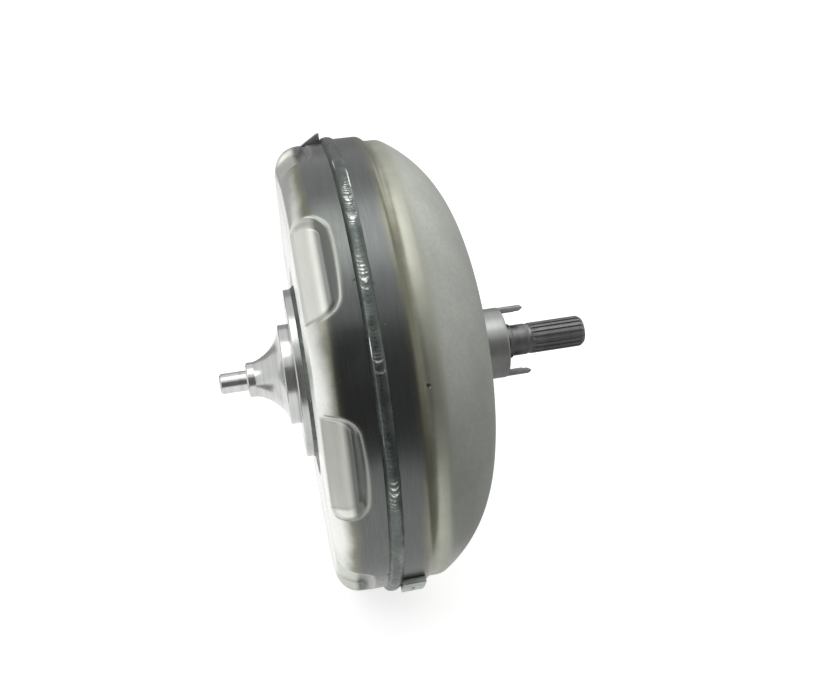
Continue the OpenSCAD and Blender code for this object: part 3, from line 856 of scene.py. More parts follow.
@dataclass
class Stations:
    """Places along and round the shaft line that the pieces share, read from the frame."""

    tip_x: float
    disc_r: float
    ring_r: float
    ring_end: float
    seam_x: float
    rim_r: float
    crown_x: float
    hub_end: float
    lug_end: float
    shaft_x: float
    shaft_end: float
    flange_x: float

    @classmethod
    def from_frame(cls) -> "Stations":
        """Returns the stations of the loaded frame, in millimetres."""
        pilot = [v / MM for v in (*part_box("crank_pilot")[0], *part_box("crank_pilot")[1])]
        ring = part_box("drive_ring")[1] / MM
        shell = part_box("impeller_shell")
        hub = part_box("pump_hub")
        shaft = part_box("turbine_shaft")
        return cls(
            tip_x=pilot[0], disc_r=pilot[4], ring_r=ring.y, ring_end=ring.x + SEAT,
            seam_x=shell[0].x / MM - SEAT, rim_r=shell[1].y / MM, crown_x=shell[1].x / MM,
            hub_end=hub[1].x / MM - 17, lug_end=hub[1].x / MM, flange_x=hub[0].x / MM,
            shaft_x=shaft[0].x / MM, shaft_end=shaft[1].x / MM,
        )


@dataclass
class CrankPilot:
    """Nose stub, collar, flare and register disc, in one turned piece."""

    at: Stations
    pilot_r: float = 7.0
    pilot_l: float = 18.5
    collar_r: float = 12.0
    collar_l: float = 5.3
    flare_l: float = 19.4
    disc_t: float = 7.2
    seat: float = 0.5
    spigot_r: float = 18.0
    bore_r: float = 11.05
    bore_x: float = -2.5
    inside_x: float = 13.0

    def profile(self) -> Profile:
        """Returns the outline from the tip's centre hole round to the bore's bottom."""
        tip = self.at.tip_x
        collar = tip + self.pilot_l
        flare = collar + self.collar_l
        disc = -self.disc_t
        r = self.at.disc_r
        corners = [
            Corner(tip + 5.5, 0, 0), Corner(tip + 4.6, 1.5, 0.1), Corner(tip + 1.0, 1.6, 0.1),
            Corner(tip, 2.6, 0.15), Corner(tip, self.pilot_r - 1.2, 0.25),
            Corner(tip + 1.2, self.pilot_r, 0.3), Corner(collar, self.pilot_r, 0.6),
            Corner(collar, self.collar_r - 0.8, 0.2), Corner(collar + 0.8, self.collar_r, 0.25),
            Corner(flare, self.collar_r, 0.8), *self.flare(flare, disc, r - 3)[1:],
            Corner(disc, r - 0.6, 0.2), Corner(disc + 0.6, r, 0.25), Corner(0, r, 0.1),
            Corner(0, r - 0.6, 0.1), Corner(self.seat, r - 0.6, 0.1),
            Corner(self.seat, self.spigot_r, 0.2), Corner(self.inside_x, self.spigot_r, 0.3),
            Corner(self.inside_x, self.bore_r, 0.3), Corner(self.bore_x, self.bore_r, 0.3),
            Corner(self.bore_x, 0, 0),
        ]
        return Profile(corners, closed=False)

    def flare(self, x0: float, x1: float, foot_r: float) -> list[Corner]:
        """Returns the concave arc from the collar at x0 to the register disc at x1."""
        rise = foot_r - self.collar_r
        radius = (self.flare_l**2 + rise**2) / (2 * rise) * 1.5
        chord = math.hypot(self.flare_l, rise)
        sag = math.sqrt(radius**2 - chord**2 / 4)
        centre_x = (x0 + x1) / 2 - rise / chord * sag
        centre_r = (self.collar_r + foot_r) / 2 + self.flare_l / chord * sag
        start = math.degrees(math.atan2(self.collar_r - centre_r, x0 - centre_x))
        end = math.degrees(math.atan2(foot_r - centre_r, x1 - centre_x))
        return arc(centre_x, centre_r, radius, start, end, 2.0)

    def build(self, material: bpy.types.Material) -> None:
        """Makes the piece."""
        rows = self.profile().points(turn=6, widest=2.5)
        piece = turned_mesh("nose_pilot", rows, even_angles(288), closed=False)
        install(piece, HOUSING, ["crank_pilot"], material)


@dataclass
class DriveRing:
    """Ring that the flex plate is bolted to, with tapped holes."""

    at: Stations
    bore_r: float = 18.05
    edge: float = 0.6
    seat: float = 0.5
    bolt_count: int = 6
    bolt_circle_r: float = 46.0
    hole_r: float = 4.25
    thread_depth: float = 0.7
    thread_pitch: float = 1.5
    first_bolt: float = 186.0
    countersink: float = 1.0

    def profile(self) -> Profile:
        """Returns the ring's cross-section."""
        r, end = self.at.ring_r, self.at.ring_end - SEAT
        return Profile([
            Corner(self.seat, self.bore_r, 0.2), Corner(self.seat, self.at.disc_r + SEAT, 0.1),
            Corner(0, self.at.disc_r + SEAT, 0.1), Corner(0, r - self.edge, 0.15),
            Corner(self.edge, r, 0.2),
            Corner(end, r, 0.1), Corner(end, self.bore_r, 0.2),
        ])

    def tapped_cutter(self) -> bpy.types.Object:
        """Returns one cutter with a right-hand thread on it, standing on the shaft line."""
        end = self.at.ring_end + 1
        stations = np.arange(-1, end + 0.01, 0.15)
        root = self.hole_r + self.thread_depth

        def threaded(x: np.ndarray, r: np.ndarray, a: np.ndarray) -> tuple[np.ndarray, ...]:
            """Winds the thread and opens its mouth."""
            phase = np.mod(x / self.thread_pitch - a / (2 * math.pi), 1.0)
            tooth = np.clip(2.3 * (1 - np.abs(2 * phase - 1)) - 0.5, 0, 1)
            mouth = np.clip(root + self.countersink - x, self.hole_r, root + self.countersink)
            return x, np.maximum(self.hole_r + self.thread_depth * tooth, mouth), a

        rows = np.array([[stations[0], 0], *[[x, self.hole_r] for x in stations], [stations[-1], 0]])
        return turned_mesh("tap", rows, even_angles(40), closed=False, shape=threaded)

    def build(self, material: bpy.types.Material) -> None:
        """Makes the ring and taps its holes."""
        piece = turned_mesh("bolt_ring", self.profile().points(turn=10, widest=4), even_angles(360))
        cutters = CircleTree().run(self.tapped_cutter(), "taps", {
            "Count": self.bolt_count, "Radius": self.bolt_circle_r * MM,
            "First angle": math.radians(self.first_bolt), "Material": material})
        piece = combined(piece, cutters, Cut.DIFFERENCE)
        install(piece, HOUSING, ["drive_ring"], material)


@dataclass
class FrontCover:
    """Pressed cover with a row of pockets round its shoulder.

    A pocket's floor slopes up towards the rim, levels out, and ends at a rolled ridge.

    Args:
        at: Shared stations, in millimetres as all sizes here.
        front_x: Station of the pads' front face.
        lap: How far the rim lies inside the shell's.
        wall: Thickness of the sheet.
        shoulder_r: Rounding of the shoulder.
        hollow_depth: Depth of the hollow round the drive ring.
        pilot_bore_r: Radius of the bore for the nose's spigot.
        pocket_count: Number of pockets.
        first_pocket: Angle of the first pocket, in degrees.
        pocket_w: Width of a pocket round the cover.
        floor_x: Where a pocket's floor levels out, behind the front face.
        floor_drop: Depth of that place below the rim.
        floor_slope: Slope of the floor, in degrees.
        ledge_l: Length of the level stretch.
        ledge_slope: Slope of the level stretch.
        ridge_slope: Slope of the wall that ends at the ridge.
        side_draft: How much the sides lean outwards.
        side_inset: How far the sides stand in from the pocket's width.
        corner: Blend between the sides and the ridge's wall.
        rolled: Blend between a pocket and the shoulder.
        crease: Blend between the walls and the floor.
        crown: Blend between the floor and its level stretch.
        side_before: Angle, in radians, over which columns stand close inside a side.
        side_after: The same outside it.
    """

    at: Stations
    front_x: float = 6.9
    lap: float = 1.9
    wall: float = 4.5
    shoulder_r: float = 16.0
    hollow_depth: float = 2.0
    pilot_bore_r: float = 18.05
    pocket_count: int = 8
    first_pocket: float = 133.0
    pocket_w: float = 63.0
    floor_x: float = 12.9
    floor_drop: float = 7.0
    floor_slope: float = 35.0
    ledge_l: float = 3.4
    ledge_slope: float = -6.0
    ridge_slope: float = 58.0
    side_draft: float = 0.55
    side_inset: float = 3.0
    corner: float = 9.0
    rolled: float = 2.0
    crease: float = 0.9
    crown: float = 4.0
    side_before: float = 0.065
    side_after: float = 0.06

    COLUMNS = (0, 6, 28, 32)
    PRESS_ROUNDS = 60
    FLOOR_PAST = 1.3
    # Start, place and width of the painted shade line round each pocket's mouth.
    RIM_SHADE_START = 5.5
    RIM_SHADE_GAP = 0.9
    RIM_SHADE_WIDTH = 0.7

    @property
    def cover_r(self) -> float:
        """Outer radius of the cover's rim."""
        return self.at.rim_r - self.lap

    def face_corners(self, t: float) -> list[Corner]:
        """Returns the centre face, its ring-shaped hollow and the step to the pads, set in by t."""
        ring, face, front = self.at.ring_r, self.at.ring_end + t, self.front_x + t
        floor = face + self.hollow_depth
        third = t / 3
        return [
            Corner(face, self.pilot_bore_r, 0.1), Corner(face, ring + 3 + third, 0.5),
            Corner(floor, ring + 5 + third, 1.2), Corner(floor, ring + 11 - third, 1.2),
            Corner(face, ring + 14 - third, 0.8), Corner(front, ring + 14 - third, 0.8),
        ]

    def outside(self) -> np.ndarray:
        """Returns the outer rows from the bore to the seam, close together over the shoulder."""
        r, front, seam = self.cover_r, self.front_x, self.at.seam_x - SEAT
        centre_x, centre_r = front + self.shoulder_r, r - self.shoulder_r
        corners = [
            *self.face_corners(0), Corner(front, centre_r - 12, 0),
            *arc(centre_x, centre_r, self.shoulder_r, 180, 90), Corner(seam, r, 0.1),
        ]
        coarse = Profile(corners, closed=False).points(turn=9, widest=5)
        dense = Profile(corners, closed=False).points(turn=6, widest=0.7)
        near = dense[(dense[:, 1] > centre_r - 5) & (dense[:, 0] < centre_x + 8)]
        inside = coarse[(coarse[:, 1] < near[0, 1]) & (coarse[:, 0] < front + 8)]
        beyond = coarse[coarse[:, 0] > near[-1, 0]]
        return np.vstack([inside, near, beyond])

    def inside(self) -> np.ndarray:
        """Returns the inner rows from the seam back to the bore."""
        t = self.wall
        r, seam = self.cover_r - t, self.at.seam_x - SEAT
        centre_x, centre_r = self.front_x + self.shoulder_r, self.cover_r - self.shoulder_r
        corners = [
            Corner(seam, r, 0.1), *arc(centre_x, centre_r, self.shoulder_r - t, 90, 180, 8.0),
            *self.face_corners(t)[::-1],
        ]
        return Profile(corners, closed=False).points(turn=14, widest=4.5)

    def pitch_angles(self) -> np.ndarray:
        """Returns the angles of the columns, close together at the pockets' sides."""
        pitch = 2 * math.pi / self.pocket_count
        half = self.pocket_w / 2 / self.cover_r
        knots = [0, half - self.side_before, half + self.side_after, pitch / 2]
        side = np.interp(np.arange(self.COLUMNS[-1]), self.COLUMNS, knots)
        one = np.concatenate([-side[:0:-1], side, [pitch / 2]])
        starts = math.radians(self.first_pocket) + pitch * np.arange(self.pocket_count)
        return np.concatenate([one + start for start in starts])

    def gap(self, x: np.ndarray, r: np.ndarray, a: np.ndarray) -> np.ndarray:
        """Returns the distance from a point to the nearest pocket's cutter.

        Args:
            x: Stations.
            r: Radii.
            a: Angles.

        Returns:
            Distances in millimetres, negative inside the cutter.
        """
        pitch = 2 * math.pi / self.pocket_count
        off = np.mod(a - math.radians(self.first_pocket) + pitch / 2, pitch) - pitch / 2
        across, out = np.abs(r * np.sin(off)), r * np.cos(off)
        knee_x, knee_r = self.front_x + self.floor_x, self.cover_r - self.floor_drop
        ledge = math.radians(self.ledge_slope)
        foot_x = knee_x + self.ledge_l * math.cos(ledge)
        foot_r = knee_r + self.ledge_l * math.sin(ledge)

        def above(slope: float, x0: float, r0: float) -> np.ndarray:
            """Returns how far the points lie above a sloping line through (x0, r0)."""
            turn = math.radians(slope)
            return (out - r0) * math.cos(turn) - (x - x0) * math.sin(turn)

        floor = above(self.floor_slope, knee_x, knee_r)
        level = above(self.ledge_slope, knee_x, knee_r)
        ridge = above(self.ridge_slope, foot_x, foot_r)
        half = self.pocket_w / 2 - self.side_inset + np.maximum(floor, 0) * self.side_draft
        side = (across - half) / math.hypot(1, self.side_draft)
        walls = smooth_max(-ridge, side, self.corner)
        base = -smooth_max(floor, level, self.crown)
        return smooth_max(walls, base, self.crease)

    def pressed(self, rows: np.ndarray, outer: int) -> tuple[Shape, list[np.ndarray]]:
        """Makes the function that presses the pockets into the turned surface.

        Args:
            rows: All rows of the closed profile.
            outer: Number of rows on the outside.

        Returns:
            The function, and a list that it fills with each outer point's distance from a pocket
            and its station.
        """
        ahead, behind = np.roll(rows, -1, axis=0), np.roll(rows, 1, axis=0)
        along = ahead - behind
        along /= np.linalg.norm(along, axis=1)[:, None]
        normal = np.stack([-along[:, 1], along[:, 0]], axis=1)
        gaps: list[np.ndarray] = []

        def press(x: np.ndarray, r: np.ndarray, a: np.ndarray) -> tuple[np.ndarray, ...]:
            """Moves each point inwards along its normal until it lies on a pocket's surface."""
            nx, nr = (np.repeat(normal[:, k:k + 1], x.shape[1], axis=1) for k in (0, 1))
            t = np.zeros_like(x)
            for part, grow, sign in ((slice(0, outer), 0.0, 1.0), (slice(outer, None), self.wall, -1.0)):
                for _ in range(self.PRESS_ROUNDS):
                    px = x[part] - t[part] * nx[part] * sign
                    pr = r[part] - t[part] * nr[part] * sign
                    inside = smooth_max(-t[part], grow - self.gap(px, pr, a[part]), self.rolled)
                    t[part] += np.where(self.near_shoulder(x[part], r[part]), np.maximum(inside, 0), 0)
            sign = np.where(np.arange(len(rows)) < outer, 1.0, -1.0)[:, None]
            x, r = x - t * nx * sign, r - t * nr * sign
            gaps.extend([self.gap(x[:outer], r[:outer], a[:outer]), x[:outer]])
            return x, r, a

        return press, gaps

    def near_shoulder(self, x: np.ndarray, r: np.ndarray) -> np.ndarray:
        """Returns which points can be reached by a pocket."""
        return (r > self.cover_r - self.shoulder_r - 8) & (x < self.front_x + self.shoulder_r + 10)

    def build(self, material: bpy.types.Material) -> None:
        """Makes the cover."""
        outer, inner = self.outside(), self.inside()
        rows = np.vstack([outer, inner])
        shape, gaps = self.pressed(rows, len(outer))
        angles = self.pitch_angles()
        piece = turned_mesh("pressed_front_cover", rows, angles, shape=shape)
        gap, x = gaps
        floor, edge = np.zeros((2, len(rows), len(angles)))
        floor_end = self.front_x + self.floor_x + self.FLOOR_PAST
        rim_shade_start = self.front_x + self.RIM_SHADE_START
        floor[:len(outer)] = np.clip(0.9 - gap / 1.4, 0, 1) * np.clip((floor_end - x) / 3.0, 0, 1)
        # The edge attribute holds painted shade: a dark line round each pocket's mouth.
        edge[:len(outer)] = np.exp(-((gap - self.RIM_SHADE_GAP) / self.RIM_SHADE_WIDTH) ** 2)
        edge[:len(outer)] *= np.clip((x - rim_shade_start) / 5, 0, 1)
        set_attribute(piece, "pressed", floor)
        set_attribute(piece, "edge", edge)
        install(piece, HOUSING, ["front_cover"], material)


def smooth_max(first: np.ndarray, second: np.ndarray, width: float) -> np.ndarray:
    """Returns the larger of two distances, blended where they are about equal.

    Args:
        first: Distances.
        second: Distances.
        width: Width of the blend.

    Returns:
        The blended distances.
    """
    blend = np.maximum(width - np.abs(first - second), 0) / width
    return np.maximum(first, second) + blend * blend * width / 4


@dataclass
class WeldBead:
    """A weld bead that runs round the shaft line, with the ripples of its passes.

    Args:
        name: Name of the piece.
        node: CAD node that it stands for.
        outline: Corners of its cross-section, the free surface first.
        ripples: Number of ripples round the circle.
        height: Height of a ripple, in millimetres.
        wander: How far the bead's surface wanders, in millimetres.
        seed: Seed of the wandering.
        limit: Largest radius that the bead may reach.
        lip: Height of the raised runs along its edges, in millimetres, which also carry a painted
            highlight.
        samples: Number of columns in each ripple.
    """

    name: str
    node: str
    outline: list[Corner]
    ripples: int
    height: float
    wander: float
    seed: int
    limit: float
    lip: float = 0.0
    samples: int = 5

    RISE_SHARE = 0.78
    LIP_PLACE = 0.36
    LIP_WIDTH = 0.05
    LAST_PHASE = 6.28

    def build(self, material: bpy.types.Material) -> bpy.types.Object:
        """Makes the bead and returns it."""
        rows = Profile(self.outline).points(turn=14, widest=1.0)
        centre = rows.mean(axis=0)
        low_r = min(c.r for c in self.outline)
        rise = np.clip((rows[:, 1] - low_r) / (rows[:, 1].max() - low_r), 0, 1)
        free = np.clip(rise * 3.0, 0, 1)
        across = (rows[:, 0] - centre[0]) / np.ptp(rows[:, 0])
        random = np.random.default_rng(self.seed)
        waves = self.waves(random, 9, 90, 16)
        runs = self.waves(random, 5, 24, 6)
        wear_and_glint: list[np.ndarray] = []

        def rippled(x: np.ndarray, r: np.ndarray, a: np.ndarray) -> tuple[np.ndarray, ...]:
            """Adds the ripples' steps and the bead's wandering edge."""
            slow = sum(np.sin(n * a + p) for n, p in waves) / 4
            bow = across[:, None] ** 2 * 5.0
            phase = np.mod(self.ripples * a / (2 * math.pi) + bow + slow * 0.7, 1.0)
            rise_share = self.RISE_SHARE
            step = np.where(phase < rise_share, phase / rise_share, (1 - phase) / (1 - rise_share))
            side = np.sign(across)[:, None]
            run = np.clip(sum(np.sin(n * a + p * side) for n, p in runs) / 1.6 - 0.7, 0, 1)
            lip = run * np.exp(-((np.abs(across) - self.LIP_PLACE) / self.LIP_WIDTH) ** 2)[:, None]
            lift = (step - 0.6) * self.height + slow * self.wander + lip * self.lip
            # Crest mask: partly wear, partly painted glints on the ripples.
            wear_and_glint.append(step * free[:, None] * np.clip(1.1 - np.abs(across[:, None]) * 1.6, 0, 1))
            # Lip mask: painted highlights along the bead's edges.
            wear_and_glint.append(lip * min(1.0, self.lip * 10))
            dx, dr = rows[:, 0] - centre[0], rows[:, 1] - centre[1] + 1.0
            span = np.hypot(dx, dr)
            move = lift * free[:, None] / span[:, None]
            out = np.minimum(r + move * dr[:, None], self.limit)
            return x + move * dx[:, None] * 0.6, out, a

        piece = turned_mesh(self.name, rows, even_angles(self.ripples * self.samples), shape=rippled)
        set_attribute(piece, "crest", wear_and_glint[0])
        set_attribute(piece, "lip", wear_and_glint[1])
        install(piece, HOUSING, [self.node], material)
        return piece

    def waves(self, random: np.random.Generator, low: int, high: int,
              count: int) -> list[tuple[int, float]]:
        """Draws waves that close on themselves, each a number of periods and a phase."""
        periods = random.integers(low, high, count)
        return [(int(n), p) for n, p in zip(periods, random.uniform(0, self.LAST_PHASE, count))]


@dataclass
class Welds:
    """The rim weld with its spatter, the drive ring's weld and the pump hub's weld."""

    at: Stations
    bead_w: float = 8.8
    bead_h: float = 3.9
    lap: float = 1.9
    web_drop: float = 15.0
    hub_r: float = 24.6

    def rim_outline(self) -> list[Corner]:
        """Returns the rim bead's cross-section, sunk a little into both shells."""
        seam, low, high = self.at.seam_x, self.at.rim_r - self.lap, self.at.rim_r
        half, top = self.bead_w / 2, low + self.bead_h
        return [
            Corner(seam - half, low - 0.2, 0.1), Corner(seam - half + 0.4, low + 0.8, 0.5),
            Corner(seam - half * 0.6, top - 0.9, 1.0), Corner(seam, top - 0.2, 1.2),
            Corner(seam + half * 0.6, top - 0.7, 1.0), Corner(seam + half - 0.3, high + 0.3, 0.5),
            Corner(seam + half, high - 0.25, 0.1),
            Corner(seam + 0.1, high - 0.3, 0.1), Corner(seam + 0.1, low - 0.3, 0.1),
        ]

    def build(self, material: bpy.types.Material, droplets: bpy.types.Material) -> None:
        """Makes the beads and the spatter."""
        top = self.at.rim_r - self.lap + self.bead_h - 0.01
        rim = WeldBead("rim_weld_bead", "rim_weld", self.rim_outline(), ripples=330, height=0.1,
                       wander=0.16, seed=5, limit=top, lip=0.3)
        bead = rim.build(material)
        ring, end = self.at.ring_r, self.at.ring_end
        WeldBead("ring_weld_bead", "pilot_weld", [
            Corner(end - 4.2, ring - 0.15, 0.1), Corner(end - 3.6, ring + 0.5, 0.4),
            Corner(end - 1.2, ring + 2.0, 0.6), Corner(end - SEAT, ring + 2.7, 0.2),
            Corner(end - SEAT, ring - 0.15, 0.1),
        ], ripples=150, height=0.1, wander=0.1, seed=8, limit=ring + 2.8).build(material)
        web, hub = self.at.crown_x - self.web_drop, self.hub_r
        WeldBead("hub_weld_bead", "hub_weld", [
            Corner(web + SEAT, hub - 0.1, 0.1), Corner(web + 4, hub - 0.1, 0.1),
            Corner(web + 3.9, hub + 0.5, 0.3), Corner(web + 1.6, hub + 1.6, 0.8),
            Corner(web + 0.5, hub + 3.9, 0.3), Corner(web + SEAT, hub + 4, 0.1),
        ], ripples=80, height=0.16, wander=0.1, seed=11, limit=hub + 4.0).build(material)
        self.spatter(bead, droplets)

    def spatter(self, bead: bpy.types.Object, material: bpy.types.Material) -> None:
        """Scatters droplets over the rim bead and the shells beside it."""
        seam, low, high = self.at.seam_x, self.at.rim_r - self.lap, self.at.rim_r
        top = low + self.bead_h - 0.4
        rows = np.array([
            [seam - 9, low - 0.1], [seam - 4, low - 0.1], [seam - 2, top - 1.0], [seam, top - 0.5],
            [seam + 2, top - 0.8], [seam + 4, high - 0.1], [seam + 10, high - 0.1],
            [seam + 10, low - 1], [seam - 9, low - 1]])
        base = turned_mesh("spatter_base", rows, even_angles(180))
        piece = SpatterTree().run(base, "rim_weld_spatter", {
            "Density": 42000.0, "Smallest": 0.14 * MM, "Largest": 0.8 * MM, "Seam": seam * MM,
            "Reach": 10 * MM, "Seed": 3, "Material": material})
        install(piece, HOUSING, [], material)


@dataclass
class ImpellerShell:
    """Welded rear shell: a band at the rim, a step, the bowl and the web round the pump hub."""

    at: Stations
    band_l: float = 21.0
    step_drop: float = 3.5
    step_l: float = 13.0
    crown_r: float = 76.0
    crown_round: float = 30.0
    web_drop: float = 15.0
    hub_r: float = 24.6
    wall: float = 3.5
    dimple_a: float = 162.0
    dimple_x: float = 4.6
    dimple_r: float = 1.3
    dimple_depth: float = 1.6
    near_angle: float = 0.018
    near_gap: float = 0.004

    @property
    def band_end(self) -> float:
        """Station where the band ends."""
        return self.at.seam_x + self.band_l

    def surface(self, t: float) -> list[Corner]:
        """Returns the corners from the seam to the hub, set in by t."""
        rim, end = self.at.rim_r - t, self.band_end
        step = self.at.rim_r - self.step_drop
        bowl_x, crown_x = end + self.step_l, self.at.crown_x
        depth, height = crown_x - bowl_x, step - 0.5 - self.crown_r
        bowl_r = (depth**2 + height**2) / (2 * depth)
        centre_x = crown_x - bowl_r
        start = math.degrees(math.acos((bowl_x - centre_x) / (bowl_r - t)))
        inner_x, inner_r = crown_x - self.crown_round, self.crown_round - t
        web_x = crown_x - self.web_drop - t
        stop = math.degrees(math.acos((web_x - inner_x) / inner_r))
        return [
            Corner(self.at.seam_x + SEAT, rim, 0.2), Corner(end - 0.5, rim, 3.4),
            Corner(end + 2.5, step - t, 4.0), Corner(bowl_x, step - t, 4.5),
            *arc(centre_x, self.crown_r, bowl_r - t, start, 0, 2.0),
            *arc(inner_x, self.crown_r, inner_r, 0, -stop, 3.0)[1:-1],
            Corner(web_x, self.crown_r - inner_r * math.sin(math.radians(stop)), 5.0),
            Corner(web_x, self.hub_r + SEAT, 0.1),
        ]

    def build(self, material: bpy.types.Material) -> None:
        """Makes the shell with its dimple."""
        profile = Profile([*self.surface(0), *self.surface(self.wall)[::-1]])
        coarse, fine = profile.points(turn=8, widest=5), profile.points(turn=5, widest=0.25)
        centre_x, step_r = self.dimple_place()
        outside = fine[(np.abs(fine[:, 0] - centre_x) < self.dimple_r + 0.4) & (fine[:, 1] > step_r - 1)]
        first = int(np.argmax(coarse[:, 0] > outside[0, 0]))
        last = int(np.argmax(coarse[:, 0] > outside[-1, 0]))
        rows = np.vstack([coarse[:first], outside, coarse[last:]])
        piece = turned_mesh("impeller_bowl", rows, self.columns(), shape=self.dimpled)
        install(piece, HOUSING, ["impeller_shell"], material)

    def dimple_place(self) -> tuple[float, float]:
        """Returns the station of the dimple and the radius of the step."""
        return self.band_end + self.dimple_x, self.at.rim_r - self.step_drop

    def columns(self) -> np.ndarray:
        """Returns the angles of the columns, close together at the dimple."""
        centre = math.radians(self.dimple_a)
        even = even_angles(400)
        near = centre + np.linspace(-self.near_angle, self.near_angle, 41)
        kept = even[(even < near[0] - self.near_gap) | (even > near[-1] + self.near_gap)]
        return np.sort(np.concatenate([kept, near]))

    def dimpled(self, x: np.ndarray, r: np.ndarray, a: np.ndarray) -> tuple[np.ndarray, ...]:
        """Presses the small dimple into the step."""
        centre_x, step_r = self.dimple_place()
        across = r * (a - math.radians(self.dimple_a))
        near = np.clip(1 - ((x - centre_x) ** 2 + across**2) / self.dimple_r**2, 0, 1)
        return x, r - np.where(r > step_r - 1.5, near * self.dimple_depth, 0), a


@dataclass
class PumpHub:
    """Tube that turns the oil pump, with two drive lugs."""

    at: Stations
    hub_r: float = 25.0
    wall: float = 4.6
    inner_flange_r: float = 35.5
    outer_flange_r: float = 42.0
    web_inside_x: float = 99.4
    lug_w: float = 14.0
    lug_a: float = 66.0
    step: float = 0.4
    journal_x: float = 107.4

    def tube(self) -> Profile:
        """Returns the tube's cross-section with its hidden flange."""
        r, bore, end = self.hub_r, self.hub_r - self.wall, self.at.hub_end
        back = self.web_inside_x
        return Profile([
            Corner(self.at.flange_x, bore, 0.4), Corner(self.at.flange_x, self.inner_flange_r, 0.5),
            Corner(back - 6, self.inner_flange_r, 0.4), Corner(back - 6, self.outer_flange_r, 0.5),
            Corner(back - SEAT, self.outer_flange_r, 0.3), Corner(back - SEAT, r - self.step, 0.2),
            Corner(self.journal_x, r - self.step, 0.1), Corner(self.journal_x, r - 0.1, 0.1),
            Corner(end - 0.8, r, 0.4), Corner(end, r - 0.8, 0.4), Corner(end, bore + 0.8, 0.2),
            Corner(end - 1.2, bore, 0.2),
        ])

    def lug(self) -> bpy.types.Object:
        """Returns one lug, curved like the tube's wall, standing along +Y."""
        end, tip = self.at.hub_end, self.at.lug_end
        r, bore = self.hub_r - self.step, self.hub_r - self.wall + 0.8
        outline = [(end - 3, bore), (end - 3, r), (tip - 1, r), (tip, r - 1), (tip, bore + 1.6),
                   (tip - 3, bore)]
        piece = bevelled_block("lug", outline, self.lug_w, 0.5, cuts=15)
        bend_round_shaft(piece)
        return piece

    def build(self, material: bpy.types.Material) -> None:
        """Makes the hub with both lugs."""
        piece = turned_mesh("lugged_pump_hub", self.tube().points(turn=7, widest=4), even_angles(240))
        lugs = CircleTree().run(self.lug(), "lugs", {
            "Count": 2, "Radius": 0.0, "First angle": math.radians(self.lug_a), "Material": material})
        piece = combined(piece, lugs, Cut.UNION)
        install(piece, HOUSING, ["pump_hub"], material)


